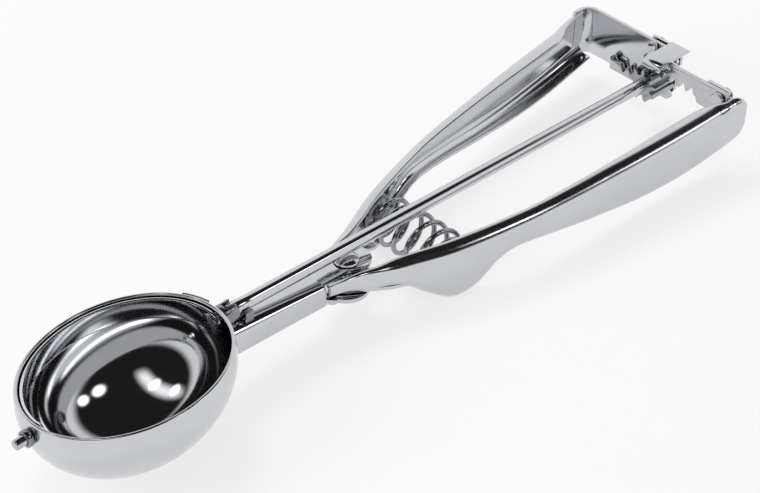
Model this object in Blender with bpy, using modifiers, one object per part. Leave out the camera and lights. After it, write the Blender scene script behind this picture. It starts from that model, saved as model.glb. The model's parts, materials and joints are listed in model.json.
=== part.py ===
"""Oval portion scoop with two squeeze handles, a rack drive and a sweeping blade.

In the tool's own frame the turning rod lies along X, the bowl is at -X, the handles' free ends are at +X,
and the pivot rivet stands along Z through the origin. "left" and "right" are the holder's, with the bowl
pointing away: left is -Y. The finished tool is laid down on the ground as it rests on a table.
"""
from math import acos, atan2, cos, degrees, hypot, pi, radians, sin, sqrt, tan

import bmesh
import bpy
from mathutils import Matrix, Vector

for old in list(bpy.data.objects):
    bpy.data.objects.remove(old)

MM = 0.001
CLEARANCE = 0.3 * MM
SKIN = 0.05 * MM

# Bowl: part of a long spheroid whose axis dips towards the nose
BOWL_HALF_LENGTH = 29.0 * MM
BOWL_HALF_WIDTH = 23.1 * MM
BOWL_WALL = 1.0 * MM
BOWL_RIM_HEIGHT = 4.0 * MM
BOWL_DIP = radians(4.4)
BOWL_JOINT_X = -39.6 * MM
BOWL_TO_JOINT = 3.5 * MM

# Blade that sweeps round the inside of the bowl, and what it turns on
BLADE_WIDTH = 6.5 * MM
BLADE_THICKNESS = 0.7 * MM
BLADE_GAP = 0.5 * MM
BLADE_REST_ANGLE = radians(0.6)
BLADE_SWEEP = radians(165)
STUD_RADIUS = 1.75 * MM
STUD_REACH = 4.6 * MM
HEAD_RADIUS = 2.8 * MM
HEAD_THICKNESS = 0.8 * MM
HUB_RADIUS = 1.9 * MM
FORK_RADIUS = 2.9 * MM
FORK_REACH = 4.6 * MM
FORK_SLOT_DEPTH = 2.9 * MM
COLLAR_RADIUS = 2.9 * MM
COLLAR_THICKNESS = 1.5 * MM

# Rod and its pinion
ROD_RADIUS = 1.9 * MM
TONGUE_THICKNESS = 1.4 * MM
TONGUE_SLACK = 0.35 * MM
TONGUE_ROOT = 1.7 * MM
TONGUE_LENGTH = 2.65 * MM
PINION_FRONT_X = 114.8 * MM
PINION_LENGTH = 9.6 * MM
PINION_TEETH = 9
TOOTH_MODULE = 0.95 * MM
TOOTH_ADDENDUM = 0.85 * MM
TOOTH_DEDENDUM = 1.15 * MM
TOOTH_BACKLASH = 0.24 * MM
FLANK_ANGLE = radians(20)
# Pinion flank: height above the pitch circle in addenda, thickness as a share of the tooth's at that circle
PINION_FLANK = [(-TOOTH_DEDENDUM / TOOTH_ADDENDUM, 0.70), (-0.35, 0.98), (0, 1), (0.5, 0.74), (1, 0.40)]

# Neck: a tube folded from sheet, round at the bowl and squared at the fork that holds the rivet
NECK_WALL = 1.1 * MM
NECK_HALF_WIDTH = 5.0 * MM
NECK_FRONT_X = -47.0 * MM
NECK_FRONT_TOP = -2.7 * MM
NECK_FRONT_BOTTOM = -12.8 * MM
NECK_FRONT_CORNER = 4.7 * MM
NECK_REAR_X = -11.5 * MM
NECK_REAR_TOP = -4.3 * MM
NECK_REAR_BOTTOM = -11.3 * MM
NECK_REAR_CORNER = 1.6 * MM
EAR_THICKNESS = 1.2 * MM
UPPER_EAR_RADIUS = 5.1 * MM
UPPER_EAR_CENTRE_X = 2.2 * MM
LOWER_EAR_RADIUS = 6.4 * MM
EAR_STEP_FROM_TUBE_END = 0.8 * MM
EAR_STEP_TO_EYES = 2.6 * MM
EAR_STEP_LEAN = 0.6 * MM
CRADLE_FROM_ROD_START = 1.0 * MM
CRADLE_LENGTH = 2.6 * MM
CRADLE_HALF_WIDTH = 3.2 * MM
CRADLE_TOP = -0.5 * MM

# Rivet that both handles turn on, and the eyes stacked on it
RIVET_RADIUS = 1.8 * MM
RIVET_HEAD_RADIUS = 3.5 * MM
RIVET_HEAD_HEIGHT = 1.2 * MM
EYE_THICKNESS = 1.0 * MM
EYE_RADIUS = 4.4 * MM
UPPER_EYE_REACH = (-3.5 * MM, 10.0 * MM)
LOWER_EYE_REACH = (7.0 * MM, 14.0 * MM)
BUSH_LENGTH = 0.9 * MM
BUSH_RADIUS = 3.4 * MM

# Handles: channels pressed from sheet, seen from above and from the side
HANDLE_SHEET = 1.0 * MM
HANDLE_CORNER = 4.0 * MM
ROUNDED_FLANGE_SHARE = 0.8
ROUNDED_WEB_SHARE = 0.42
HANDLE_STATIONS = 38
STATION_CROWDING = 1.25
HANDLE_FRONT_X = -11.0 * MM
LEFT_HANDLE_REAR_X = 122.8 * MM
RIGHT_HANDLE_REAR_X = 120.6 * MM
LEFT_REAR_CORNER = 3.0 * MM
HANDLE_OUTER_LINE = [(-11, 6.2), (-4, 6.5), (0, 7.2), (5, 9.3), (12, 12.3), (25, 17.6), (45, 22.6),
                     (60, 25.2), (75, 27.2), (90, 28.9), (105, 30.2), (123, 31.2)]
FLANGE_WIDTH_LINE = [(-11, 1.7), (2, 1.9), (10, 3.7), (24, 4.4), (48, 4.2), (72, 5.0), (96, 6.0), (123, 5.8)]
HANDLE_TOP_LINE = [(-11, -3.8), (-4, -4.5), (6, -4.4), (14, -3.5), (60, 1.5), (123, 8.2)]
HANDLE_BOTTOM_LINE = [(-11, -7.4), (-5, -8.8), (0, -10.4), (6, -11.2), (12, -13.0), (18, -17.0), (24, -20.0),
                      (30, -18.3), (36, -12.7), (42, -10.1), (50, -9.9), (72, -11.2), (88, -11.3),
                      (104, -9.9), (123, -6.3)]

# End plates and racks
UPPER_RACK_FRONT_X = 117.8 * MM
RACK_THICKNESS = 1.5 * MM
RACK_TOP = 8.8 * MM
RACK_RUNNING_GAP = 1.8 * MM
RACK_SWING_IN = 4.1 * MM
UPPER_RACK_LEAD = 2.7 * MM
UPPER_RACK_TAIL = -27.6 * MM
UPPER_RACK_TAIL_Z = 1.5 * MM
LOWER_RACK_BOTTOM = -6.6 * MM
LOWER_RACK_LEAD = -4.2 * MM
LOWER_RACK_TAIL = 18.6 * MM
LOWER_RACK_TAIL_Z = -2.6 * MM
PLATE_THICKNESS = 1.2 * MM
PLATE_BEND_RADIUS = 4.0 * MM
PLATE_BEND_RUN = 3.0 * MM
PLATE_BEND_TOP = 7.2 * MM
PLATE_RAISED_TO = 26.6 * MM
LEFT_RELIEF_TO = 28.5 * MM
RIGHT_RELIEF_TO = 27.9 * MM
LEFT_PLATE_BOTTOM = -2.0 * MM
LEFT_PLATE_END = 19.0 * MM
RIGHT_PLATE_BOTTOM = -6.5 * MM
RIGHT_PLATE_END = -4.3 * MM
RIGHT_PLATE_CORNER = 4.0 * MM
RIGHT_PLATE_STEP_BACK = 3.1 * MM
RIGHT_PLATE_STEP_Z = 3.5 * MM
RACK_END_CORNER = 1.5 * MM
RACK_RIVET_RADIUS = 1.1 * MM
RACK_RIVET_HEAD = 2.1 * MM
RACK_RIVET_HEIGHT = 1.0 * MM
RACK_RIVET_CLENCHED = 0.6 * MM
RACK_RIVET_EDGE = 0.25 * MM
UPPER_RIVET_AT = (-25.0 * MM, 6.6 * MM)
STRAP_RIVET_AT = (4.5 * MM, 7.0 * MM)
STRAP_RIVET_RADIUS = 0.8 * MM
STRAP_RIVET_HEAD = 1.6 * MM

# Strap riveted to the right plate, which reaches forward over the upper rack and keeps it in mesh
STRAP_THICKNESS = 1.1 * MM
STRAP_FRONT_X = 113.3 * MM
STRAP_LIFT = 1.4 * MM
STRAP_NEAR_Y = -6.5 * MM
STRAP_WIDTH = 6.0 * MM
STRAP_LEG_NARROWER = 2.5 * MM
STRAP_LEG_END = 3.6 * MM
STRAP_LIP = 2.4 * MM
STRAP_BEND_RADIUS = 1.8 * MM
STRAP_WING_PAST_RIVET = 2.2 * MM

# Spring between the handles
SPRING_X = 26.0 * MM
SPRING_Z = -9.8 * MM
SPRING_WIRE = 1.4 * MM
SPRING_MIDDLE_RADIUS = 6.4 * MM
SPRING_END_RADIUS = 5.2 * MM
SPRING_TURNS = 6
SPRING_CLOSE_PITCH = 2.3 * MM
SPRING_POINTS_PER_TURN = 9
SPRING_NARROWS_FROM = 0.78
SPRING_NARROWS_OVER = 0.2
SEAT_FACE_Y = 13.6 * MM
SEAT_RADIUS = 5.2 * MM
SEAT_BOSS_RADIUS = 4.1 * MM
SEAT_BOSS_LENGTH = 2.2 * MM
SEAT_WEB_GAP = 0.5 * MM

# Rolled tab on the rim
RIM_TAB_RADIUS = 1.0 * MM
RIM_TAB_FROM = radians(6)
RIM_TAB_TO = radians(26)

PITCH_RADIUS = TOOTH_MODULE * PINION_TEETH / 2
TOOTH_PITCH = pi * TOOTH_MODULE
BOWL_AXIS_LENGTH = BOWL_HALF_LENGTH + BOWL_TO_JOINT
ROD_START_X = BOWL_JOINT_X + TONGUE_ROOT
PINION_REAR_X = PINION_FRONT_X + PINION_LENGTH
ROD_END_X = PINION_REAR_X - CLEARANCE
LEFT_PLATE_X = UPPER_RACK_FRONT_X + RACK_THICKNESS + CLEARANCE
LOWER_RACK_FRONT_X = PINION_REAR_X - RACK_THICKNESS
RIGHT_PLATE_X = LOWER_RACK_FRONT_X + RACK_THICKNESS + CLEARANCE
STRAP_TOP = RACK_TOP + STRAP_LIFT
STRAP_REAR_X = RIGHT_PLATE_X + PLATE_THICKNESS + CLEARANCE + STRAP_THICKNESS


def collection(name):
    made = bpy.data.collections.new(name)
    bpy.context.scene.collection.children.link(made)
    return made


def steel(name, grey, roughness):
    """A bare steel whose brightness and polish suit one piece."""
    material = bpy.data.materials.new(name)
    material.use_nodes = True
    shader = material.node_tree.nodes["Principled BSDF"]
    shader.inputs["Base Color"].default_value = (grey, grey, grey * 1.01, 1)
    shader.inputs["Metallic"].default_value = 1.0
    shader.inputs["Roughness"].default_value = roughness
    material.diffuse_color = (grey, grey, grey, 1)
    return material


def empty(name, parent, location=(0, 0, 0), rotation=(0, 0, 0)):
    made = bpy.data.objects.new(name, None)
    made.empty_display_size = 10 * MM
    made.location = location
    made.rotation_euler = rotation
    made.parent = parent
    SCOOP.objects.link(made)
    return made


def place(name, mesh, parent, material=None, sharp_angle=35):
    """Adds a mesh as a piece, or as a cutter where it has no material."""
    made = bpy.data.objects.new(name, mesh)
    made.parent = parent
    if material is None:
        CUTTERS.objects.link(made)
        made.hide_render = True
        made.display_type = "WIRE"
    else:
        SCOOP.objects.link(made)
        mesh.materials.append(material)
        mesh.shade_smooth()
        mesh.set_sharp_from_angle(angle=radians(sharp_angle))
    return made


def mesh_from(name, bm):
    mesh = bpy.data.meshes.new(name)
    bm.to_mesh(mesh)
    bm.free()
    return mesh


def closed(bm):
    """Merges doubles and turns every face of a closed form outwards."""
    bmesh.ops.remove_doubles(bm, verts=bm.verts, dist=0.001 * MM)
    bmesh.ops.recalc_face_normals(bm, faces=bm.faces)
    return bm


def box(low, high):
    bm = bmesh.new()
    bmesh.ops.create_cube(bm, size=1)
    low, high = Vector(low), Vector(high)
    bmesh.ops.scale(bm, vec=high - low, verts=bm.verts)
    bmesh.ops.translate(bm, vec=(low + high) / 2, verts=bm.verts)
    return bm


AXIS_TURNS = {"x": Matrix.Rotation(pi / 2, 4, "Y"), "y": Matrix.Rotation(-pi / 2, 4, "X"), "z": Matrix()}


def rod_between(axis, start, end, radius, centre=(0, 0), segments=24):
    """A cylinder along one axis from start to end; centre gives the two other coordinates in order."""
    bm = bmesh.new()
    bmesh.ops.create_cone(bm, cap_ends=True, segments=segments, radius1=radius, radius2=radius,
                          depth=end - start)
    middle = list(centre)
    middle.insert("xyz".index(axis), (start + end) / 2)
    bmesh.ops.transform(bm, matrix=Matrix.Translation(middle) @ AXIS_TURNS[axis], verts=bm.verts)
    return bm


def outline_solid(name, outlines, thickness, turn=None):
    """A flat sheet of the given outlines, thickness centred on its plane, as a closed mesh."""
    curve = bpy.data.curves.new(name, "CURVE")
    curve.dimensions = "2D"
    curve.fill_mode = "BOTH"
    curve.extrude = thickness / 2
    for outline in outlines:
        spline = curve.splines.new("POLY")
        spline.points.add(len(outline) - 1)
        for point, (across, up) in zip(spline.points, outline):
            point.co = (across, up, 0, 1)
        spline.use_cyclic_u = True
    holder = bpy.data.objects.new(name, curve)
    bpy.context.scene.collection.objects.link(holder)
    bpy.context.view_layer.update()
    mesh = bpy.data.meshes.new_from_object(holder.evaluated_get(bpy.context.evaluated_depsgraph_get()))
    bpy.data.objects.remove(holder)
    bpy.data.curves.remove(curve)
    bm = bmesh.new()
    bm.from_mesh(mesh)
    bpy.data.meshes.remove(mesh)
    if turn is not None:
        bmesh.ops.transform(bm, matrix=turn, verts=bm.verts)
    return closed(bm)


def facing_x(x):
    """Stands an outline drawn in (y, z) at the given x."""
    return Matrix(((0, 0, 1, x), (1, 0, 0, 0), (0, 1, 0, 0), (0, 0, 0, 1)))


def facing_y(y):
    """Stands an outline drawn in (x, z) at the given y."""
    return Matrix(((1, 0, 0, 0), (0, 0, -1, y), (0, 1, 0, 0), (0, 0, 0, 1)))


def turned(name, profile, parent, material, location=(0, 0, 0), rotation=(0, 0, 0), segments=32):
    """A profile of (radius, height), outer side from top to bottom, turned about the object's own Z."""
    ring = profile[0] == profile[-1]
    corners = profile[:-1] if ring else profile
    edges = [(i, (i + 1) % len(corners)) for i in range(len(profile) - 1)]
    mesh = bpy.data.meshes.new(name)
    mesh.from_pydata([(radius, 0, height) for radius, height in corners], edges, [])
    made = place(name, mesh, parent, material)
    made.location = location
    made.rotation_euler = rotation
    screw = made.modifiers.new("turn", "SCREW")
    screw.axis = "Z"
    screw.steps = segments
    screw.render_steps = segments
    screw.use_merge_vertices = True
    screw.merge_threshold = 0.01 * MM
    screw.use_smooth_shade = True
    return made


def combine(piece, operation, cutter):
    step = piece.modifiers.new(cutter.name, "BOOLEAN")
    step.operation = operation
    step.solver = "EXACT"
    step.object = cutter
    return piece


def cut(piece, name, bm, parent):
    return combine(piece, "DIFFERENCE", place(name, mesh_from(name, bm), parent))


def join(piece, name, bm, parent):
    return combine(piece, "UNION", place(name, mesh_from(name, bm), parent))


def along(line, x):
    """Reads a smooth curve through the line's points, given in millimetres, at x metres."""
    at = min(max(x / MM, line[0][0]), line[-1][0])
    last = len(line) - 1
    slopes = []
    for i in range(last + 1):
        before, after = line[max(i - 1, 0)], line[min(i + 1, last)]
        slopes.append((after[1] - before[1]) / (after[0] - before[0]))
    i = max(k for k in range(last) if line[k][0] <= at)
    (x0, y0), (x1, y1) = line[i], line[i + 1]
    span = x1 - x0
    t = (at - x0) / span
    value = ((2 * t ** 3 - 3 * t ** 2 + 1) * y0 + (t ** 3 - 2 * t ** 2 + t) * span * slopes[i]
             + (3 * t ** 2 - 2 * t ** 3) * y1 + (t ** 3 - t ** 2) * span * slopes[i + 1])
    return value * MM


def handle_outer(x):
    return along(HANDLE_OUTER_LINE, x)


def handle_inner_face(x):
    return handle_outer(x) - HANDLE_SHEET


def loft(sections, flip=False):
    """Faces between neighbouring sections of equally many points."""
    bm = bmesh.new()
    rows = [[bm.verts.new(point) for point in section] for section in sections]
    for row, following in zip(rows, rows[1:]):
        for k in range(len(row) - 1):
            face = [row[k], row[k + 1], following[k + 1], following[k]]
            bm.faces.new(reversed(face) if flip else face)
    return bm


def solidify(piece, thickness):
    """Gives an open surface its wall, measured inwards from its outer face."""
    wall = piece.modifiers.new("wall", "SOLIDIFY")
    wall.thickness = thickness
    wall.offset = -1
    wall.use_even_offset = True
    return piece


def arc(centre, radius, start, end, steps):
    """Points of an arc, angles in degrees."""
    for k in range(steps + 1):
        angle = radians(start + (end - start) * k / steps)
        yield (centre[0] + radius * cos(angle), centre[1] + radius * sin(angle))


# Bowl and blade, built about the bowl's own axis with the bowl's middle at the origin


def spheroid(half_length, half_width, around=48, rings=24):
    bm = bmesh.new()
    bmesh.ops.create_uvsphere(bm, u_segments=around, v_segments=rings, radius=1)
    bmesh.ops.scale(bm, vec=(half_length, half_width, half_width), verts=bm.verts)
    return bm


def make_bowl(parent, material):
    bm = spheroid(BOWL_HALF_LENGTH, BOWL_HALF_WIDTH)
    everything = bm.verts[:] + bm.edges[:] + bm.faces[:]
    bmesh.ops.bisect_plane(bm, geom=everything, plane_co=(0, 0, BOWL_RIM_HEIGHT), plane_no=(0, 0, 1),
                           clear_outer=True)
    bowl = solidify(place("bowl", mesh_from("bowl", bm), parent, material), BOWL_WALL)
    middle = BOWL_HALF_LENGTH - BOWL_WALL
    reach = 4 * BOWL_WALL
    cut(bowl, "stud_hole", rod_between("x", -middle - reach, -middle + reach, STUD_RADIUS + CLEARANCE),
        parent)
    cut(bowl, "hub_hole", rod_between("x", middle - reach, middle + reach, HUB_RADIUS + CLEARANCE), parent)
    return bowl


def make_blade(parent, material):
    """A strip as wide as the blade, laid along the bowl's inner wall from pole to pole and just past both."""
    length = BOWL_HALF_LENGTH - BOWL_WALL - BLADE_GAP
    width = BOWL_HALF_WIDTH - BOWL_WALL - BLADE_GAP
    half = BLADE_WIDTH / 2
    past = half / width
    bm = bmesh.new()
    bmesh.ops.create_grid(bm, x_segments=40, y_segments=4, size=1)
    for vert in bm.verts:
        angle = pi / 2 - vert.co.x * (pi / 2 + past)
        over = max(0.0, abs(vert.co.x) * (pi / 2 + past) - pi / 2) * width
        across = vert.co.y * sqrt(max(half ** 2 - over ** 2, (0.3 * half) ** 2))
        shrink = sqrt(1 - (across / width) ** 2)
        vert.co = (length * cos(angle) * shrink, width * sin(angle) * shrink, across)
    bm.normal_update()
    bm.faces.ensure_lookup_table()
    if sum(face.normal.dot(face.calc_center_median()) for face in bm.faces) < 0:
        bmesh.ops.reverse_faces(bm, faces=bm.faces)
    bmesh.ops.rotate(bm, cent=(0, 0, 0), matrix=Matrix.Rotation(BLADE_REST_ANGLE, 3, "X"), verts=bm.verts)
    blade = solidify(place("scraper_blade", mesh_from("scraper_blade", bm), parent, material),
                     BLADE_THICKNESS)
    reach = 4 * BLADE_THICKNESS
    cut(blade, "blade_stud_hole", rod_between("x", -length - reach, -length + reach, STUD_RADIUS + CLEARANCE),
        parent)
    cut(blade, "blade_hub_hole", rod_between("x", length - reach, length + reach, HUB_RADIUS + CLEARANCE),
        parent)
    return blade


def make_front_stud(parent, material):
    """Shouldered stud: its head is inside the blade and its plain end stands out of the bowl's nose."""
    head = BOWL_HALF_LENGTH - BOWL_WALL - BLADE_GAP - BLADE_THICKNESS - CLEARANCE
    tip = BOWL_HALF_LENGTH + STUD_REACH
    chamfer = 0.3 * MM
    profile = [(0, tip), (STUD_RADIUS - chamfer, tip), (STUD_RADIUS, tip - chamfer), (STUD_RADIUS, head),
               (HEAD_RADIUS, head), (HEAD_RADIUS, head - HEAD_THICKNESS), (0, head - HEAD_THICKNESS)]
    return turned("front_stud", profile, parent, material, rotation=(0, -pi / 2, 0), segments=24)


def make_stud_collar(parent, material):
    """Small bearing ring on the outside of the bowl's nose."""
    face = BOWL_HALF_LENGTH + CLEARANCE
    bore = STUD_RADIUS + CLEARANCE
    profile = [(bore, face + COLLAR_THICKNESS), (COLLAR_RADIUS, face + COLLAR_THICKNESS),
               (COLLAR_RADIUS, face), (bore, face), (bore, face + COLLAR_THICKNESS)]
    return turned("stud_collar", profile, parent, material, rotation=(0, -pi / 2, 0), segments=24)


def make_blade_hub(parent, material):
    """Hub with its head inside the blade and a fork behind the bowl that takes the rod's tongue."""
    head = BOWL_HALF_LENGTH - BOWL_WALL - BLADE_GAP - BLADE_THICKNESS - CLEARANCE
    fork = BOWL_HALF_LENGTH + CLEARANCE
    end = BOWL_HALF_LENGTH + FORK_REACH
    profile = [(0, end), (FORK_RADIUS, end), (FORK_RADIUS, fork), (HUB_RADIUS, fork), (HUB_RADIUS, head),
               (HEAD_RADIUS, head), (HEAD_RADIUS, head - HEAD_THICKNESS), (0, head - HEAD_THICKNESS)]
    hub = turned("blade_hub", profile, parent, material, rotation=(0, pi / 2, 0), segments=24)
    slot = TONGUE_THICKNESS / 2 + TONGUE_SLACK
    reach = 2 * FORK_RADIUS
    cut(hub, "fork_slot", box((end - FORK_SLOT_DEPTH, -slot, -reach), (end + reach, slot, reach)), parent)
    return hub


def make_rim_tab(parent, material):
    """Rolled tab along the outside of the rim, where the blade's end comes to rest."""
    level = BOWL_RIM_HEIGHT - RIM_TAB_RADIUS / 2
    shrink = sqrt(1 - (level / BOWL_HALF_WIDTH) ** 2)
    out = CLEARANCE + RIM_TAB_RADIUS
    curve = bpy.data.curves.new("rim_tab", "CURVE")
    curve.dimensions = "3D"
    curve.bevel_depth = RIM_TAB_RADIUS
    curve.bevel_resolution = 2
    curve.use_fill_caps = True
    spline = curve.splines.new("POLY")
    count = 9
    spline.points.add(count - 1)
    for k, point in enumerate(spline.points):
        angle = RIM_TAB_FROM + (RIM_TAB_TO - RIM_TAB_FROM) * k / (count - 1)
        point.co = ((BOWL_HALF_LENGTH * shrink + out) * cos(angle),
                    (BOWL_HALF_WIDTH * shrink + out) * sin(angle),
                    level, 1)
    curve.materials.append(material)
    made = bpy.data.objects.new("rim_tab", curve)
    made.parent = parent
    SCOOP.objects.link(made)
    return made


# Rod and pinion, built about the rod's axis


def make_rod(parent, material):
    tip = ROD_START_X - TONGUE_LENGTH
    bm = rod_between("x", tip, ROD_END_X, ROD_RADIUS)
    rod = place("drive_rod", mesh_from("drive_rod", bm), parent, material)
    for name, side in (("tongue_flat_left", -1), ("tongue_flat_right", 1)):
        near, far = sorted((side * TONGUE_THICKNESS / 2, side * 2 * ROD_RADIUS))
        cut(rod, name, box((tip - ROD_RADIUS, near, -2 * ROD_RADIUS), (ROD_START_X, far, 2 * ROD_RADIUS)),
            parent)
    return rod


def half_tooth(height):
    """Half of a rack tooth's thickness at a height above its pitch line."""
    return TOOTH_PITCH / 4 - TOOTH_BACKLASH / 2 - height * tan(FLANK_ANGLE)


def pinion_outline():
    """Curved flanks from root to tip, thinned below the pitch circle where the rack's tips roll in."""
    corners = [(PITCH_RADIUS + height * TOOTH_ADDENDUM, share * half_tooth(0))
               for height, share in PINION_FLANK]
    points = []
    for tooth in range(PINION_TEETH):
        middle = pi / 2 - 2 * pi * tooth / PINION_TEETH
        flank = [(radius, middle + half / radius) for radius, half in corners]
        flank += [(radius, middle - half / radius) for radius, half in reversed(corners)]
        points += [(radius * cos(angle), radius * sin(angle)) for radius, angle in flank]
    return points


def make_pinion(parent, material):
    bore = list(arc((0, 0), ROD_RADIUS + CLEARANCE, 0, 360 * 23 / 24, 23))
    middle = facing_x(PINION_FRONT_X + PINION_LENGTH / 2)
    bm = outline_solid("pinion", [pinion_outline(), bore], PINION_LENGTH, middle)
    return place("pinion", mesh_from("pinion", bm), parent, material, sharp_angle=20)


# Neck, fork and rivet


def neck_section(x, grow=0.0):
    """Rounded rectangle of the neck at x: half width, top, bottom and corner change evenly along it."""
    t = (x - NECK_FRONT_X) / (NECK_REAR_X - NECK_FRONT_X)
    top = NECK_FRONT_TOP + (NECK_REAR_TOP - NECK_FRONT_TOP) * t + grow
    bottom = NECK_FRONT_BOTTOM + (NECK_REAR_BOTTOM - NECK_FRONT_BOTTOM) * t - grow
    corner = NECK_FRONT_CORNER + (NECK_REAR_CORNER - NECK_FRONT_CORNER) * t + grow
    half = NECK_HALF_WIDTH + grow
    section = []
    for centre, start in (((half - corner, top - corner), 0), ((corner - half, top - corner), 90),
                          ((corner - half, bottom + corner), 180), ((half - corner, bottom + corner), 270)):
        section += [(x, y, z) for y, z in arc(centre, corner, start, start + 90, 4)]
    return section + section[:1]


def neck_form(grow=0.0, capped=False):
    steps = 6
    stations = [NECK_FRONT_X + (NECK_REAR_X - NECK_FRONT_X) * k / steps for k in range(steps + 1)]
    bm = loft([neck_section(x, grow) for x in stations])
    bmesh.ops.remove_doubles(bm, verts=bm.verts, dist=0.001 * MM)
    if capped:
        bmesh.ops.holes_fill(bm, edges=bm.edges)
    bmesh.ops.recalc_face_normals(bm, faces=bm.faces)
    return bm


def lower_ear_top():
    """The ears stand as far apart as the stack of eyes and the bush between them needs."""
    return NECK_REAR_TOP - EAR_THICKNESS - 4 * EYE_THICKNESS - BUSH_LENGTH - 6 * CLEARANCE


def ear_outline(front, half_width, centre_x, radius):
    turn = degrees(acos(min(1.0, half_width / radius))) if radius > half_width else 0
    rounded = list(arc((centre_x, 0), radius, -90 - turn, 90 + turn, 16))
    return [(front, -half_width)] + rounded + [(front, half_width)]


def make_neck(parent, bowl_frame, material):
    """The tube, with its top wall drawn out into the upper ear and its bottom wall stepped down to the
    lower."""
    neck = solidify(place("neck", mesh_from("neck", neck_form()), parent, material), NECK_WALL)
    lap = 4 * NECK_WALL
    half = NECK_HALF_WIDTH - NECK_REAR_CORNER
    upper = NECK_REAR_TOP - SKIN - EAR_THICKNESS / 2
    shape = ear_outline(NECK_REAR_X - lap, half, UPPER_EAR_CENTRE_X, UPPER_EAR_RADIUS)
    bm = outline_solid("upper_ear", [shape], EAR_THICKNESS, Matrix.Translation((0, 0, upper)))
    join(neck, "upper_ear", bm, parent)
    low_top = lower_ear_top()
    low_bottom = low_top - EAR_THICKNESS
    tube_bottom = NECK_REAR_BOTTOM + 2 * SKIN
    step_front = NECK_REAR_X + EAR_STEP_FROM_TUBE_END
    step_rear = -EYE_RADIUS - EAR_STEP_TO_EYES
    profile = [(NECK_REAR_X - lap, tube_bottom), (step_front, tube_bottom), (step_rear, low_bottom),
               (0, low_bottom), (0, low_top), (step_rear + EAR_STEP_LEAN, low_top),
               (step_front + EAR_STEP_LEAN, tube_bottom + EAR_THICKNESS),
               (NECK_REAR_X - lap, tube_bottom + EAR_THICKNESS)]
    bm = outline_solid("ear_step", [profile], 2 * half, facing_y(0))
    join(neck, "ear_step", bm, parent)
    bm = rod_between("z", low_bottom - SKIN, low_top - SKIN, LOWER_EAR_RADIUS, segments=32)
    join(neck, "lower_ear", bm, parent)
    hole = rod_between("z", low_bottom - lap, NECK_REAR_TOP + lap, RIVET_RADIUS + CLEARANCE)
    cut(neck, "neck_rivet_hole", hole, parent)
    bm = spheroid(BOWL_HALF_LENGTH + CLEARANCE, BOWL_HALF_WIDTH + CLEARANCE)
    cut(neck, "bowl_seat", bm, bowl_frame)
    fork = rod_between("x", BOWL_HALF_LENGTH, BOWL_HALF_LENGTH + FORK_REACH + CLEARANCE,
                       FORK_RADIUS + CLEARANCE)
    return cut(neck, "fork_room", fork, bowl_frame)


def make_cradle(parent, material):
    """Saddle on the neck's front end that the rod turns in."""
    start = ROD_START_X + CRADLE_FROM_ROD_START
    low = NECK_FRONT_TOP - NECK_FRONT_CORNER / 2
    bm = box((start, -CRADLE_HALF_WIDTH, low), (start + CRADLE_LENGTH, CRADLE_HALF_WIDTH, CRADLE_TOP))
    cradle = place("rod_cradle", mesh_from("rod_cradle", bm), parent, material)
    trough = rod_between("x", start - CRADLE_LENGTH, start + 2 * CRADLE_LENGTH, ROD_RADIUS + CLEARANCE)
    cut(cradle, "cradle_trough", trough, parent)
    return cut(cradle, "cradle_foot", neck_form(CLEARANCE, capped=True), parent)


def make_rivet(parent, material):
    shank = RIVET_RADIUS
    top = NECK_REAR_TOP + CLEARANCE
    bottom = lower_ear_top() - EAR_THICKNESS - CLEARANCE
    steps = 5
    dome = [(RIVET_HEAD_RADIUS * sin(k * pi / 2 / steps), top + RIVET_HEAD_HEIGHT * cos(k * pi / 2 / steps))
            for k in range(steps + 1)]
    foot = [(RIVET_HEAD_RADIUS * cos(k * pi / 2 / steps),
             bottom - RIVET_HEAD_HEIGHT * sin(k * pi / 2 / steps))
            for k in range(steps + 1)]
    dome[0] = (0, dome[0][1])
    foot[-1] = (0, foot[-1][1])
    return turned("pivot_rivet", dome + [(shank, top), (shank, bottom)] + foot, parent, material, segments=24)


def make_bush(parent, material):
    top = eye_top("left", "upper") - EYE_THICKNESS - CLEARANCE
    bore = RIVET_RADIUS + CLEARANCE
    profile = [(bore, top), (BUSH_RADIUS, top), (BUSH_RADIUS, top - BUSH_LENGTH), (bore, top - BUSH_LENGTH),
               (bore, top)]
    return turned("hinge_bush", profile, parent, material, segments=24)


# Handles, built with the rivet's axis as their origin


def eye_top(hand, level):
    """Top of one eye in the stack: right above left above the bush, then right above left again."""
    top = NECK_REAR_TOP - EAR_THICKNESS - CLEARANCE
    step = EYE_THICKNESS + CLEARANCE
    if hand == "left":
        top -= step
    if level == "lower":
        top -= 2 * step + BUSH_LENGTH + CLEARANCE
    return top


def handle_section(x, side):
    """Channel open towards the rod: flange edge, rounded corner, web, rounded corner, flange edge."""
    outer = handle_outer(x)
    top, bottom = along(HANDLE_TOP_LINE, x), along(HANDLE_BOTTOM_LINE, x)
    inner = outer - along(FLANGE_WIDTH_LINE, x)
    corner = min(HANDLE_CORNER, ROUNDED_FLANGE_SHARE * (outer - inner), ROUNDED_WEB_SHARE * (top - bottom))
    section = [(inner, top)]
    section += arc((outer - corner, top - corner), corner, 90, 0, 3)
    section += arc((outer - corner, bottom + corner), corner, 0, -90, 3)
    section.append((inner, bottom))
    return [(x, side * y, z) for y, z in section]


def eye_outline(first, last, side):
    """Round the rivet, and out to the middle of the web between two places along it."""
    outline = [(x, side * (handle_outer(x) - 0.5 * HANDLE_SHEET)) for x in (last, (first + last) / 2, first)]
    turn = 180 if first < 0 else 135
    ring = [(x, side * y) for x, y in arc((0, 0), EYE_RADIUS, turn, 380, 16)]
    return outline + ring


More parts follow.
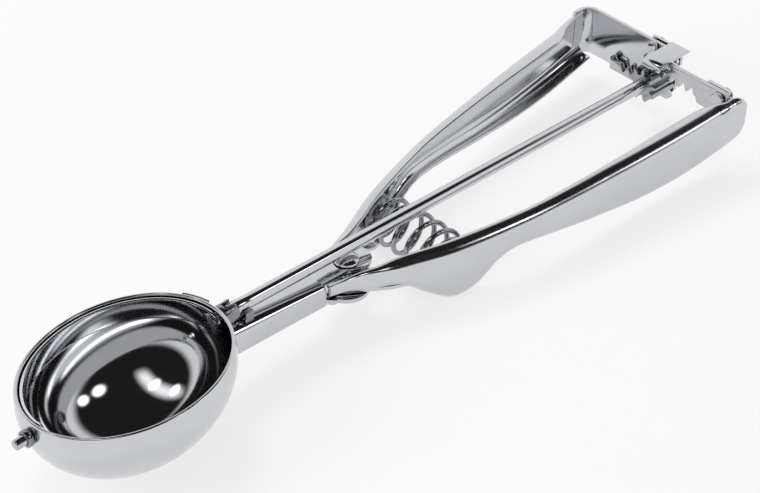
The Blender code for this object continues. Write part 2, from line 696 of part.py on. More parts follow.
def bend_outline(plate_x, end_y, side):
    """Plan of an end plate: it leaves the web's inside in a bend and crosses towards the rod."""
    near, far = 0.2 * HANDLE_SHEET, 0.2 * HANDLE_SHEET + PLATE_THICKNESS
    rear = plate_x + PLATE_THICKNESS
    turn_x = rear - PLATE_BEND_RADIUS
    outer, inner = [], []
    for k in range(3):
        x = turn_x - PLATE_BEND_RUN * (1 - k / 2)
        outer.append((x, handle_outer(x) - near))
        inner.append((x, handle_outer(x) - far))
    centre_y = handle_outer(turn_x) - near - PLATE_BEND_RADIUS
    outer += list(arc((turn_x, centre_y), PLATE_BEND_RADIUS, 90, 0, 6))[1:]
    inner += list(arc((turn_x, centre_y), PLATE_BEND_RADIUS - PLATE_THICKNESS, 90, 0, 6))[1:]
    outline = outer + [(rear, end_y), (plate_x, end_y)] + list(reversed(inner))
    return [(x, side * y) for x, y in outline]


def make_channel(hand, parent, material):
    side = -1 if hand == "left" else 1
    rear = LEFT_HANDLE_REAR_X if hand == "left" else RIGHT_HANDLE_REAR_X
    shares = [(k / HANDLE_STATIONS) ** STATION_CROWDING for k in range(HANDLE_STATIONS + 1)]
    stations = [HANDLE_FRONT_X + (rear - HANDLE_FRONT_X) * share for share in shares]
    bm = loft([handle_section(x, side) for x in stations], flip=side > 0)
    name = hand + "_handle"
    handle = solidify(place(name, mesh_from(name, bm), parent, material), HANDLE_SHEET)
    return handle, side


def join_eyes(handle, hand, side, parent):
    for level, (first, last) in (("upper", UPPER_EYE_REACH), ("lower", LOWER_EYE_REACH)):
        middle = eye_top(hand, level) - EYE_THICKNESS / 2
        at = Matrix.Translation((0, 0, middle))
        bm = outline_solid(level, [eye_outline(first, last, side)], EYE_THICKNESS, at)
        join(handle, "%s_%s_eye" % (hand, level), bm, parent)


def cut_relief(handle, name, from_x, to_y, low, high, side, parent):
    """Takes away the inner part of a flange at the rear, where the racks slide past."""
    near, far = sorted((0.0, side * to_y))
    cut(handle, name, box((from_x, near, low), (2 * LEFT_HANDLE_REAR_X, far, high)), parent)


def join_end_plate(handle, hand, side, parent):
    """The plate that carries the rack, bent in from the web, with a raised edge nearer the rod."""
    left = hand == "left"
    plate_x = LEFT_PLATE_X if left else RIGHT_PLATE_X
    end = LEFT_PLATE_END if left else RIGHT_PLATE_END
    low = LEFT_PLATE_BOTTOM if left else RIGHT_PLATE_BOTTOM
    plan = bend_outline(plate_x, end, side)
    at = Matrix.Translation((0, 0, (low + PLATE_BEND_TOP) / 2))
    join(handle, hand + "_end_plate", outline_solid(hand, [plan], PLATE_BEND_TOP - low, at), parent)
    near, far = sorted((side * end, side * PLATE_RAISED_TO))
    overlap = PLATE_BEND_TOP - 2 * PLATE_THICKNESS
    join(handle, hand + "_plate_top",
         box((plate_x, near, overlap), (plate_x + PLATE_THICKNESS, far, RACK_TOP)), parent)


def cut_rivet_hole(handle, name, plate_x, radius, at, parent):
    hole = rod_between("x", plate_x - PLATE_THICKNESS, plate_x + 2 * PLATE_THICKNESS, radius + CLEARANCE, at,
                       16)
    cut(handle, name, hole, parent)


def cut_pivot(handle, hand, parent):
    hole = rod_between("z", lower_ear_top(), NECK_REAR_TOP, RIVET_RADIUS + CLEARANCE)
    cut(handle, hand + "_pivot_hole", hole, parent)


def round_plate_end(handle, parent):
    """Rounds the right plate's end below the pinion, and steps it back above where the left handle
    closes in."""
    end, low, corner = RIGHT_PLATE_END, RIGHT_PLATE_BOTTOM, RIGHT_PLATE_CORNER
    step, step_z = end + RIGHT_PLATE_STEP_BACK, RIGHT_PLATE_STEP_Z
    out = end - PLATE_THICKNESS, low - PLATE_THICKNESS
    waste = list(arc((end + corner, low + corner), corner, 180, 270, 6))
    waste += [(end + corner, out[1]), out, (out[0], STRAP_TOP), (step, STRAP_TOP), (step, step_z),
              (end, step_z)]
    middle = facing_x(RIGHT_PLATE_X + PLATE_THICKNESS / 2)
    bm = outline_solid("plate_end", [waste], 3 * PLATE_THICKNESS, middle)
    cut(handle, "plate_end", bm, parent)


def round_rear_corner(handle, parent):
    """Rounds the top of the left handle's free end."""
    rear, corner = LEFT_HANDLE_REAR_X, LEFT_REAR_CORNER
    top = along(HANDLE_TOP_LINE, rear)
    waste = list(arc((rear - corner, top - corner), corner, 0, 90, 6))
    waste += [(rear - corner, top + corner), (rear + corner, top + corner), (rear + corner, top - corner)]
    width = 2 * handle_outer(rear)
    cut(handle, "rear_corner", outline_solid("rear_corner", [waste], width, facing_y(-width / 2 - RACK_TOP)),
        parent)


def make_left_handle(parent, material):
    handle, side = make_channel("left", parent, material)
    round_rear_corner(handle, parent)
    relief_x = UPPER_RACK_FRONT_X - RACK_RUNNING_GAP
    cut_relief(handle, "upper_relief", relief_x, LEFT_RELIEF_TO, 0, 2 * RACK_TOP, side, parent)
    relief_y = handle_inner_face(LEFT_HANDLE_REAR_X) - CLEARANCE
    cut_relief(handle, "lower_relief", relief_x, relief_y, 2 * LOWER_RACK_BOTTOM, LOWER_RACK_TAIL_Z, side,
               parent)
    join_eyes(handle, "left", side, parent)
    join_end_plate(handle, "left", side, parent)
    cut_pivot(handle, "left", parent)
    cut_rivet_hole(handle, "upper_rivet_hole", LEFT_PLATE_X, RACK_RIVET_RADIUS, UPPER_RIVET_AT, parent)
    return handle


def make_right_handle(parent, material):
    handle, side = make_channel("right", parent, material)
    relief_x = UPPER_RACK_FRONT_X - RACK_SWING_IN
    cut_relief(handle, "rack_relief", relief_x, RIGHT_RELIEF_TO, 0, 2 * RACK_TOP, side, parent)
    join_eyes(handle, "right", side, parent)
    join_end_plate(handle, "right", side, parent)
    cut_pivot(handle, "right", parent)
    cut_rivet_hole(handle, "strap_rivet_hole", RIGHT_PLATE_X, STRAP_RIVET_RADIUS, STRAP_RIVET_AT, parent)
    round_plate_end(handle, parent)
    return handle


# Racks, their rivets and the strap


def make_rack(name, lead, tail, back_z, tail_z, up, first_gap, front_x, parent, material):
    """Toothed strip seen along the rod: teeth from its rounded leading end, then a tail fixed to a plate.

    up is +1 where the teeth point up, and first_gap is the place of one gap, in pitches from the rod's axis.
    """
    direction = 1 if tail > lead else -1
    pitch_z = -up * PITCH_RADIUS
    tip_z, root_z = pitch_z + up * TOOTH_ADDENDUM, pitch_z - up * TOOTH_DEDENDUM
    last_gap = PITCH_RADIUS * BLADE_SWEEP + TOOTH_PITCH
    teeth_end = direction * (last_gap + TOOTH_PITCH / 2)
    rounding = [(lead + direction * RACK_END_CORNER * (1 - across),
                 back_z + up * RACK_END_CORNER * (1 - rise))
                for across, rise in arc((0, 0), 1, 90, 0, 4)]
    outline = rounding + [(lead, tip_z), (teeth_end, tip_z),
                          (teeth_end + direction * TOOTH_PITCH / 4, tail_z), (tail, tail_z), (tail, back_z)]
    middle_x = front_x + RACK_THICKNESS / 2
    bm = outline_solid(name, [outline], RACK_THICKNESS, facing_x(middle_x))
    rack = place(name, mesh_from(name, bm), parent, material, sharp_angle=20)
    deep = TOOTH_PITCH / 2 - half_tooth(-TOOTH_DEDENDUM)
    shallow = TOOTH_PITCH / 2 - half_tooth(2 * TOOTH_ADDENDUM)
    mouth_z = pitch_z + up * 2 * TOOTH_ADDENDUM
    gaps = bmesh.new()
    for k in range(-PINION_TEETH, PINION_TEETH):
        y = (k + first_gap) * TOOTH_PITCH
        if direction * lead - shallow < y < last_gap:
            y *= direction
            gap = [(y - deep, root_z), (y + deep, root_z), (y + shallow, mouth_z), (y - shallow, mouth_z)]
            one = outline_solid(name, [gap], 3 * RACK_THICKNESS, facing_x(middle_x))
            mesh = mesh_from("gap", one)
            gaps.from_mesh(mesh)
            bpy.data.meshes.remove(mesh)
    return cut(rack, name + "_gaps", gaps, parent)


def make_upper_rack(parent, material):
    rack = make_rack("upper_rack", UPPER_RACK_LEAD, UPPER_RACK_TAIL, RACK_TOP, UPPER_RACK_TAIL_Z, -1, 0,
                     UPPER_RACK_FRONT_X, parent, material)
    hole = rod_between("x", UPPER_RACK_FRONT_X - RACK_THICKNESS, UPPER_RACK_FRONT_X + 2 * RACK_THICKNESS,
                       RACK_RIVET_RADIUS + CLEARANCE, UPPER_RIVET_AT, 16)
    return cut(rack, "rack_rivet_hole", hole, parent)


def make_lower_rack(parent, material):
    return make_rack("lower_rack", LOWER_RACK_LEAD, LOWER_RACK_TAIL, LOWER_RACK_BOTTOM, LOWER_RACK_TAIL_Z, 1,
                     0.5, LOWER_RACK_FRONT_X, parent, material)


def make_headed_pin(name, front, rear, radius, head, at, parent, material):
    """Pin along X through two sheets, with a flat head in front and a second one behind."""
    front, rear = front - CLEARANCE, rear + CLEARANCE
    edge, height, clenched = RACK_RIVET_EDGE, RACK_RIVET_HEIGHT, RACK_RIVET_CLENCHED
    profile = [(0, rear + clenched), (head - edge, rear + clenched), (head, rear + clenched - edge),
               (head, rear), (radius, rear), (radius, front), (head, front), (head, front - height + edge),
               (head - edge, front - height), (0, front - height)]
    return turned(name, profile, parent, material, location=(0, *at), rotation=(0, pi / 2, 0), segments=20)


def make_strap(parent, material):
    """A short front lip, a top over both racks and a leg down behind the right plate, with a wing for
    its rivet."""
    bend = STRAP_BEND_RADIUS
    inner = bend - STRAP_THICKNESS
    front_turn = (STRAP_FRONT_X + bend, STRAP_TOP - bend)
    rear_turn = (STRAP_REAR_X - bend, STRAP_TOP - bend)
    leg_x = STRAP_REAR_X - STRAP_THICKNESS
    profile = [(STRAP_FRONT_X, STRAP_TOP - STRAP_LIP)]
    profile += list(arc(front_turn, bend, 180, 90, 4)) + list(arc(rear_turn, bend, 90, 0, 4))
    profile += [(STRAP_REAR_X, STRAP_LEG_END), (leg_x, STRAP_LEG_END)]
    profile += list(arc(rear_turn, inner, 0, 90, 3)) + list(arc(front_turn, inner, 90, 180, 3))
    profile.append((STRAP_FRONT_X + STRAP_THICKNESS, STRAP_TOP - STRAP_LIP))
    bm = outline_solid("strap", [profile], STRAP_WIDTH, facing_y(STRAP_NEAR_Y + STRAP_WIDTH / 2))
    strap = place("guide_strap", mesh_from("guide_strap", bm), parent, material)
    leg_y = STRAP_NEAR_Y + STRAP_LEG_NARROWER
    reach = 2 * STRAP_THICKNESS
    room = box((leg_x - reach, STRAP_NEAR_Y - reach, STRAP_LEG_END - reach),
               (STRAP_REAR_X + reach, leg_y, STRAP_TOP - STRAP_THICKNESS))
    cut(strap, "strap_leg_side", room, parent)
    rivet_y, rivet_z = STRAP_RIVET_AT
    wing = box((leg_x + SKIN, leg_y + SKIN, rivet_z - STRAP_WING_PAST_RIVET),
               (STRAP_REAR_X - SKIN, rivet_y + STRAP_WING_PAST_RIVET, RACK_TOP))
    join(strap, "strap_wing", wing, parent)
    hole = rod_between("x", leg_x - reach, STRAP_REAR_X + reach, STRAP_RIVET_RADIUS + CLEARANCE,
                       STRAP_RIVET_AT, 16)
    return cut(strap, "strap_rivet_hole", hole, parent)


# Spring and its seats


def spring_points():
    """Helix about a line along Y, closer wound and a little narrower at its ends, with a straight tail
    at each."""
    half = SEAT_FACE_Y - CLEARANCE - SPRING_WIRE
    open_pitch = (2 * half - 2 * SPRING_CLOSE_PITCH) / (SPRING_TURNS - 2)
    count = SPRING_TURNS * SPRING_POINTS_PER_TURN
    points = []
    for k in range(count + 1):
        turn = k / SPRING_POINTS_PER_TURN
        inner_turns = min(max(turn - 1, 0), SPRING_TURNS - 2)
        end_turns = min(turn, 1) + max(turn - SPRING_TURNS + 1, 0)
        y = -half + SPRING_CLOSE_PITCH * end_turns + open_pitch * inner_turns
        t = min(max((abs(y) / half - SPRING_NARROWS_FROM) / SPRING_NARROWS_OVER, 0), 1)
        radius = SPRING_MIDDLE_RADIUS + (SPRING_END_RADIUS - SPRING_MIDDLE_RADIUS) * t * t * (3 - 2 * t)
        angle = 2 * pi * turn
        points.append(Vector((SPRING_X + radius * cos(angle), y, SPRING_Z + radius * sin(angle))))
    tail = Vector((0, SPRING_WIRE, 0))
    return [points[0] - tail] + points + [points[-1] + tail]


def least_self_gap(points):
    """Least gap between parts of the wire that lie more than half a turn apart."""
    between = 6
    apart = between * (SPRING_POINTS_PER_TURN // 2 + 1)
    fine = [points[i].lerp(points[i + 1], k / between) for i in range(len(points) - 1)
            for k in range(between)]
    nearest = min((fine[i] - fine[j]).length for i in range(len(fine)) for j in range(i + apart, len(fine)))
    return nearest - SPRING_WIRE


def make_spring(parent, material):
    curve = bpy.data.curves.new("return_spring", "CURVE")
    curve.dimensions = "3D"
    curve.bevel_depth = SPRING_WIRE / 2
    curve.bevel_resolution = 1
    curve.use_fill_caps = True
    points = spring_points()
    spline = curve.splines.new("POLY")
    spline.points.add(len(points) - 1)
    for point, at in zip(spline.points, points):
        point.co = (*at, 1)
    curve.materials.append(material)
    made = bpy.data.objects.new("return_spring", curve)
    made.parent = parent
    SCOOP.objects.link(made)
    print("return_spring: least gap between turns %.2f mm" % (least_self_gap(points) / MM))
    return made


def make_spring_seat(hand, parent, material):
    """Wedge-backed seat inside the web, with a boss that centres the spring."""
    side = -1 if hand == "left" else 1
    web = side * handle_inner_face(SPRING_X)
    centre = (SPRING_X, SPRING_Z)
    far = side * (handle_inner_face(SPRING_X) + SEAT_RADIUS)
    face = side * SEAT_FACE_Y
    boss_end = face - side * SEAT_BOSS_LENGTH
    low, high = sorted((face, far))
    name = hand + "_spring_seat"
    seat = place(name, mesh_from(name, rod_between("y", low, high, SEAT_RADIUS, centre)), parent, material)
    low, high = sorted((boss_end, face + side * HANDLE_SHEET / 2))
    join(seat, hand + "_spring_boss", rod_between("y", low, high, SEAT_BOSS_RADIUS, centre), parent)
    step = SEAT_RADIUS / 2
    slope = atan2(handle_outer(SPRING_X + step) - handle_outer(SPRING_X - step), 2 * step)
    reach = 4 * SEAT_RADIUS
    low, high = sorted((0.0, side * reach))
    bm = box((-reach, low, -reach), (reach, high, reach))
    bmesh.ops.rotate(bm, cent=(0, 0, 0), matrix=Matrix.Rotation(side * slope, 3, "Z"), verts=bm.verts)
    bmesh.ops.translate(bm, vec=(SPRING_X, web - side * SEAT_WEB_GAP, SPRING_Z), verts=bm.verts)
    return cut(seat, hand + "_web_side", bm, parent)


# Laying the tool down


def solid_points(pieces):
    """Every piece's corners in the tool's frame, and the centre of mass of them all."""
    bpy.context.view_layer.update()
    graph = bpy.context.evaluated_depsgraph_get()
    corners, moment, total = [], Vector(), 0.0
    for piece in pieces:
        seen = piece.evaluated_get(graph)
        mesh = seen.to_mesh()
        mesh.calc_loop_triangles()
        at = [seen.matrix_world @ vert.co for vert in mesh.vertices]
        corners += at
        for triangle in mesh.loop_triangles:
            a, b, c = (at[i] for i in triangle.vertices)
            volume = a.dot(b.cross(c)) / 6
            moment += volume * (a + b + c) / 4
            total += volume
        seen.to_mesh_clear()
    return corners, moment / total


def lowest_edge(corners, centre):
    """The lowest line in side view that the tool can lie on: the one whose two ends have the weight
    between."""
    flat = sorted({(round(corner.x, 6), round(corner.z, 6)) for corner in corners})
    hull = []
    for x, z in flat:
        while len(hull) > 1 and ((hull[-1][0] - hull[-2][0]) * (z - hull[-2][1])
                                 - (hull[-1][1] - hull[-2][1]) * (x - hull[-2][0])) <= 0:
            hull.pop()
        hull.append((x, z))
    for (x0, z0), (x1, z1) in zip(hull, hull[1:]):
        length = hypot(x1 - x0, z1 - z0)
        foot = ((centre.x - x0) * (x1 - x0) + (centre.z - z0) * (z1 - z0)) / length
        if 0 <= foot <= length:
            return (x0, z0), (x1, z1)


def lie_down(tool, pieces):
    corners, centre = solid_points(pieces)
    (x0, z0), (x1, z1) = lowest_edge(corners, centre)
    tilt = atan2(z1 - z0, x1 - x0)
    turn = Matrix.Rotation(tilt, 3, "Y")
    laid = [turn @ corner for corner in corners]
    low = Vector([min(corner[k] for corner in laid) for k in range(3)])
    high = Vector([max(corner[k] for corner in laid) for k in range(3)])
    tool.rotation_euler = (0, tilt, 0)
    tool.location = (-(low.x + high.x) / 2, -(low.y + high.y) / 2, -low.z)
    print("lies on x %.1f and %.1f mm, centre of mass x %.1f mm, tilt %.2f degrees" %
          (x0 / MM, x1 / MM, centre.x / MM, degrees(tilt)))


SCOOP = collection("portion_scoop")
CUTTERS = collection("cutters")

scoop = empty("scoop", None)
bowl_centre = (BOWL_JOINT_X - BOWL_AXIS_LENGTH * cos(BOWL_DIP), 0, -BOWL_AXIS_LENGTH * sin(BOWL_DIP))
bowl_frame = empty("bowl_frame", scoop, bowl_centre, (0, -BOWL_DIP, 0))
blade_axis = empty("blade_axis", bowl_frame)
rod_axis = empty("rod_axis", scoop)
left_hinge = empty("left_hinge", scoop)
right_hinge = empty("right_hinge", scoop)

make_bowl(bowl_frame, steel("satin_bowl_steel", 0.72, 0.16))
make_stud_collar(bowl_frame, steel("collar_steel", 0.60, 0.25))
make_rim_tab(bowl_frame, steel("tab_steel", 0.45, 0.25))
make_neck(scoop, bowl_frame, steel("neck_steel", 0.70, 0.15))
make_cradle(scoop, steel("cradle_steel", 0.60, 0.25))
make_rivet(scoop, steel("rivet_steel", 0.62, 0.12))
make_bush(scoop, steel("bush_steel", 0.55, 0.3))
make_spring(scoop, steel("spring_wire", 0.66, 0.10))
make_blade(blade_axis, steel("blade_steel", 0.64, 0.12))
make_front_stud(blade_axis, steel("stud_steel", 0.62, 0.15))
make_blade_hub(blade_axis, steel("hub_steel", 0.55, 0.2))
make_rod(rod_axis, steel("rod_steel", 0.66, 0.12))
make_pinion(rod_axis, steel("pinion_steel", 0.60, 0.2))
make_left_handle(left_hinge, steel("left_handle_steel", 0.72, 0.14))
make_upper_rack(left_hinge, steel("upper_rack_steel", 0.68, 0.2))
make_headed_pin("upper_rack_rivet", UPPER_RACK_FRONT_X, LEFT_PLATE_X + PLATE_THICKNESS, RACK_RIVET_RADIUS,
                RACK_RIVET_HEAD, UPPER_RIVET_AT, left_hinge, steel("upper_rivet_steel", 0.55, 0.2))
make_spring_seat("left", left_hinge, steel("left_seat_steel", 0.55, 0.3))
make_right_handle(right_hinge, steel("right_handle_steel", 0.72, 0.14))
make_lower_rack(right_hinge, steel("lower_rack_steel", 0.68, 0.2))
make_strap(right_hinge, steel("strap_steel", 0.68, 0.15))
make_headed_pin("strap_rivet", RIGHT_PLATE_X, STRAP_REAR_X, STRAP_RIVET_RADIUS, STRAP_RIVET_HEAD,
                STRAP_RIVET_AT, right_hinge, steel("strap_rivet_steel", 0.55, 0.2))
make_spring_seat("right", right_hinge, steel("right_seat_steel", 0.55, 0.3))

lie_down(scoop, [piece for piece in SCOOP.objects if piece.type in {"MESH", "CURVE"}])
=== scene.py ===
import json
from math import acos, atan2, cos, degrees, pi, radians, sin, sqrt

import bmesh
import bpy
from mathutils import Matrix, Vector


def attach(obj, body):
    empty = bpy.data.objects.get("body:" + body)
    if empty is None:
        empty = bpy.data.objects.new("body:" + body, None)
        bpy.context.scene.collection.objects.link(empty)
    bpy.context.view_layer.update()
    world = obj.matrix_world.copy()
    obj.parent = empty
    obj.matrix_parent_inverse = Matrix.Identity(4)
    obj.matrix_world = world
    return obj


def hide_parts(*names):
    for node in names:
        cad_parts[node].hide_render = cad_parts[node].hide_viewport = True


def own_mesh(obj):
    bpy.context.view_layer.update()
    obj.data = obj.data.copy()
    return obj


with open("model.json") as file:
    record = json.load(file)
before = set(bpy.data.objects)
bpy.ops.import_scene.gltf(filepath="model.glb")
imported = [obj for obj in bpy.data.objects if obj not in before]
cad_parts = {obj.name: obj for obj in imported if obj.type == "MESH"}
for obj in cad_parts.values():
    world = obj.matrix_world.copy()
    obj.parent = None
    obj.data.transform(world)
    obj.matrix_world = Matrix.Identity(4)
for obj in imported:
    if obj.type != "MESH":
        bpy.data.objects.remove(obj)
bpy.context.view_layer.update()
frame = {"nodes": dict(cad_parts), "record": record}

# Camera. It stands where the photograph was taken from, about 0.6 m away over the bowl's left side,
# with a long lens that hardly draws the handles together.
view = bpy.data.cameras.new("photo_camera")
view.sensor_width = 36
view.lens = 111
view.clip_start = 0.01
camera = bpy.data.objects.new("photo_camera", view)
camera.location = (-0.32333, -0.34285, 0.40242)
camera.rotation_euler = (radians(50.5715), radians(0.5743), radians(-43.8238))
bpy.context.collection.objects.link(camera)
bpy.context.scene.camera = camera
bpy.context.scene.view_settings.view_transform = "Standard"

# Table and studio. A matt white table top under a white room; rays to the camera and into the metal see
# both as white, while the table keeps the scoop's soft shadow.
PAPER_WHITE, PAPER_FLECK, FLECK_MM = "F7F7F6", "F1F1F0", 10 / 9
PAPER_GLOW, TABLE_HALF_M, ROOM_LIGHT = 0.72, 3, 0.55


def linear(code):
    """An sRGB hex colour as the linear values that Blender's sockets take."""
    parts = [int(code[k:k + 2], 16) / 255 for k in (0, 2, 4)]
    return [p / 12.92 if p <= 0.04045 else ((p + 0.055) / 1.055) ** 2.4 for p in parts] + [1]


def add(tree, kind, settings=None, inputs=None):
    """Adds a node with its settings; an input that is a node's output is linked, any other value is set."""
    made = tree.nodes.new(kind)
    for key, value in (settings or {}).items():
        setattr(made, key, value)
    for key, value in (inputs or {}).items():
        if isinstance(value, bpy.types.NodeSocket):
            tree.links.new(value, made.inputs[key])
        else:
            made.inputs[key].default_value = value
    return made


def seen_plainly(tree):
    """1 for camera, glossy and transmitted rays, and 0 for the light that falls on things."""
    path = add(tree, "ShaderNodeLightPath")
    seen = add(tree, "ShaderNodeMath", {"operation": "MAXIMUM"},
               {0: path.outputs["Is Camera Ray"], 1: path.outputs["Is Glossy Ray"]})
    return add(tree, "ShaderNodeMath", {"operation": "MAXIMUM"},
               {0: seen.outputs[0], 1: path.outputs["Is Transmission Ray"]}).outputs[0]


paper = bpy.data.materials.new("matt_white_laminate")
paper.use_nodes = True
tree = paper.node_tree
tree.nodes.clear()
coordinate = add(tree, "ShaderNodeTexCoord")
fleck = add(tree, "ShaderNodeTexNoise", None,
            {"Vector": coordinate.outputs["Object"], "Scale": 1000 / FLECK_MM, "Detail": 3.0})
tone = add(tree, "ShaderNodeMix", {"data_type": "RGBA"},
           {"Factor": fleck.outputs["Fac"], "A": linear(PAPER_WHITE), "B": linear(PAPER_FLECK)})
matt = add(tree, "ShaderNodeBsdfDiffuse", None, {"Color": tone.outputs["Result"]})
glow = add(tree, "ShaderNodeEmission", None, {"Color": (1, 1, 1, 1), "Strength": 1.0})
share = add(tree, "ShaderNodeMath", {"operation": "MULTIPLY"}, {0: seen_plainly(tree), 1: PAPER_GLOW})
blend = add(tree, "ShaderNodeMixShader", None, {0: share.outputs[0], 1: matt.outputs[0], 2: glow.outputs[0]})
add(tree, "ShaderNodeOutputMaterial", None, {"Surface": blend.outputs[0]})
top = bmesh.new()
bmesh.ops.create_grid(top, x_segments=1, y_segments=1, size=TABLE_HALF_M)
mesh = bpy.data.meshes.new("table_top")
top.to_mesh(mesh)
top.free()
mesh.materials.append(paper)
table_top = bpy.data.objects.new("table_top", mesh)
bpy.context.collection.objects.link(table_top)

room = bpy.data.worlds.new("white_room")
bpy.context.scene.world = room
room.use_nodes = True
tree = room.node_tree
tree.nodes.clear()
soft = add(tree, "ShaderNodeBackground", None, {"Color": (1, 1, 1, 1), "Strength": ROOM_LIGHT})
white = add(tree, "ShaderNodeBackground", None, {"Color": (1, 1, 1, 1), "Strength": 1.0})
blend = add(tree, "ShaderNodeMixShader", None,
            {0: seen_plainly(tree), 1: soft.outputs[0], 2: white.outputs[0]})
add(tree, "ShaderNodeOutputWorld", None, {"Surface": blend.outputs[0]})


def softbox(name, at, aim, width, height, power):
    """A rectangular studio lamp aimed at a point; the metal does not mirror it."""
    lamp = bpy.data.lights.new(name, "AREA")
    lamp.shape = "RECTANGLE"
    lamp.size, lamp.size_y = width, height
    lamp.energy = power
    made = bpy.data.objects.new(name, lamp)
    made.location = at
    made.rotation_euler = (Vector(aim) - Vector(at)).to_track_quat("-Z", "Y").to_euler()
    made.visible_glossy = False
    bpy.context.collection.objects.link(made)


softbox("overhead_softbox", (0.15, 0.55, 0.95), (0, 0, 0), 0.5, 0.35, 4.0)
softbox("left_softbox", (-0.75, 0.3, 0.5), (0, 0, 0), 0.4, 0.4, 2.5)


# Tent. A painted reflection over the table: a dome that glows for glossy rays only and lights nothing, dark
# overhead and white low down all round, with a painted long bent light bank and four painted lamp spots in
# its dark field. Only the polished metal sees it, as painted dark reflections, a painted bright arc and small
# painted highlights.
def toward(azimuth, elevation):
    """The direction at an azimuth and an elevation in degrees."""
    turn, rise = radians(azimuth), radians(elevation)
    return Vector((cos(rise) * cos(turn), cos(rise) * sin(turn), sin(rise)))


# Glow levels of the painted reflection: its dark field, its white, the painted arc and the painted lamp
# spots.
TENT_RADIUS_M, PAINTED_DARK_LEVEL, WHITE, PAINTED_BANK_GLOW, PAINTED_SPOT_GLOW = 1.5, 0.018, 1.0, 1.6, 5.0
TENT_TOP, TENT_REACH, TENT_FADE = toward(240, 72), 56, 5
BANK_AROUND, BANK_ANGLE, BANK_HALF, BANK_FADE = toward(185, 15), 52, 0.5, 9
BANK_FOOT, FOOT_FADE = 58, 16
PAINTED_LAMP_SPOTS = [(toward(292, 44.5), 4.6), (toward(312, 38.4), 4.0), (toward(200, 65), 5.0),
         (toward(147, 56), 4.6)]
PAINTED_SPOT_HALO = 3.5
# The painted reflection's material: emission laid out by direction, which paints the dark field, the arc and
# the lamp spots.
reflection_cloth = bpy.data.materials.new("painted_reflection_cloth")
reflection_cloth.use_nodes = True
tree = reflection_cloth.node_tree
tree.nodes.clear()
coordinate = add(tree, "ShaderNodeTexCoord")
way = add(tree, "ShaderNodeVectorMath", {"operation": "NORMALIZE"}, {0: coordinate.outputs["Object"]})


def faded(value, low, high, to_low=0.0, to_high=1.0):
    """A soft step between two values."""
    step = add(tree, "ShaderNodeMapRange", {"interpolation_type": "SMOOTHSTEP"},
               {"Value": value, "From Min": low, "From Max": high, "To Min": to_low, "To Max": to_high})
    return step.outputs[0]


def angle_to(centre):
    """Degrees between the way looked and a centre."""
    near = add(tree, "ShaderNodeVectorMath", {"operation": "DOT_PRODUCT"}, {0: way.outputs[0], 1: centre})
    turned = add(tree, "ShaderNodeMath", {"operation": "ARCCOSINE"}, {0: near.outputs["Value"]})
    return add(tree, "ShaderNodeMath", {"operation": "DEGREES"}, {0: turned.outputs[0]}).outputs[0]


glow = faded(angle_to(TENT_TOP), TENT_REACH - TENT_FADE, TENT_REACH + TENT_FADE, PAINTED_DARK_LEVEL, WHITE)
off_bank = add(tree, "ShaderNodeMath", {"operation": "SUBTRACT"}, {0: angle_to(BANK_AROUND), 1: BANK_ANGLE})
off_bank = add(tree, "ShaderNodeMath", {"operation": "ABSOLUTE"}, {0: off_bank.outputs[0]})
bank = faded(off_bank.outputs[0], BANK_HALF, BANK_HALF + BANK_FADE, PAINTED_BANK_GLOW, 0)
height = add(tree, "ShaderNodeSeparateXYZ", None, {0: way.outputs[0]}).outputs["Z"]
foot = faded(height, sin(radians(BANK_FOOT - FOOT_FADE)), sin(radians(BANK_FOOT)))
parts = [add(tree, "ShaderNodeMath", {"operation": "MULTIPLY"}, {0: bank, 1: foot}).outputs[0]]
parts += [faded(angle_to(centre), size - PAINTED_SPOT_HALO, size + PAINTED_SPOT_HALO, PAINTED_SPOT_GLOW, 0) for centre, size in PAINTED_LAMP_SPOTS]
for part in parts:
    glow = add(tree, "ShaderNodeMath", {"operation": "MAXIMUM"}, {0: glow, 1: part}).outputs[0]
shine = add(tree, "ShaderNodeEmission", None, {"Color": (1, 1, 1, 1), "Strength": glow})
add(tree, "ShaderNodeOutputMaterial", None, {"Surface": shine.outputs[0]})
bm = bmesh.new()
bmesh.ops.create_uvsphere(bm, u_segments=64, v_segments=32, radius=TENT_RADIUS_M)
bmesh.ops.bisect_plane(bm, geom=bm.verts[:] + bm.edges[:] + bm.faces[:], plane_co=(0, 0, 0.001),
                       plane_no=(0, 0, 1), clear_inner=True)
mesh = bpy.data.meshes.new("tent")
bm.to_mesh(mesh)
bm.free()
mesh.materials.append(reflection_cloth)
tent = bpy.data.objects.new("tent", mesh)
tent.visible_camera = False
tent.visible_diffuse = False
tent.visible_shadow = False
tent.visible_transmission = False
bpy.context.collection.objects.link(tent)

# Where the scoop lies. The frame's drive rod gives the scoop's own axes, in which every piece below is drawn
# in millimetres: X along the rod towards the handles' ends, Z up, and the pivot rivet at X 0.
MM = 0.001
rod_joint = next(joint for joint in frame["record"]["behaviour"]["joints"] if joint["name"] == "rod_turn")
rod_way = Vector(rod_joint["axis"])
LIE = Matrix.Translation(rod_joint["pos_m"]) @ Matrix.Rotation(atan2(-rod_way.z, rod_way.x), 4, "Y")
LIE = LIE @ Matrix.Scale(MM, 4)

# Bowl. Drawn from one stainless sheet as a long half spheroid with a rolled lip; the outside is buffed to
# a soft sheen and the inside, where the food slides, is polished to a mirror.
BOWL_HALF_LENGTH, BOWL_HALF_WIDTH, BOWL_WALL, RIM_HEIGHT = 29.0, 23.1, 1.0, 4.0
BOWL_DIP = radians(4.4)
JOINT_X, BOWL_TO_JOINT = -39.6, 3.5
bowl_reach = BOWL_HALF_LENGTH + BOWL_TO_JOINT
BOWL_PLACE = LIE @ Matrix.Translation((JOINT_X - bowl_reach * cos(BOWL_DIP), 0, -bowl_reach * sin(BOWL_DIP)))
BOWL_PLACE = BOWL_PLACE @ Matrix.Rotation(-BOWL_DIP, 4, "Y")
LIP, LIP_STEPS = 0.42, 8


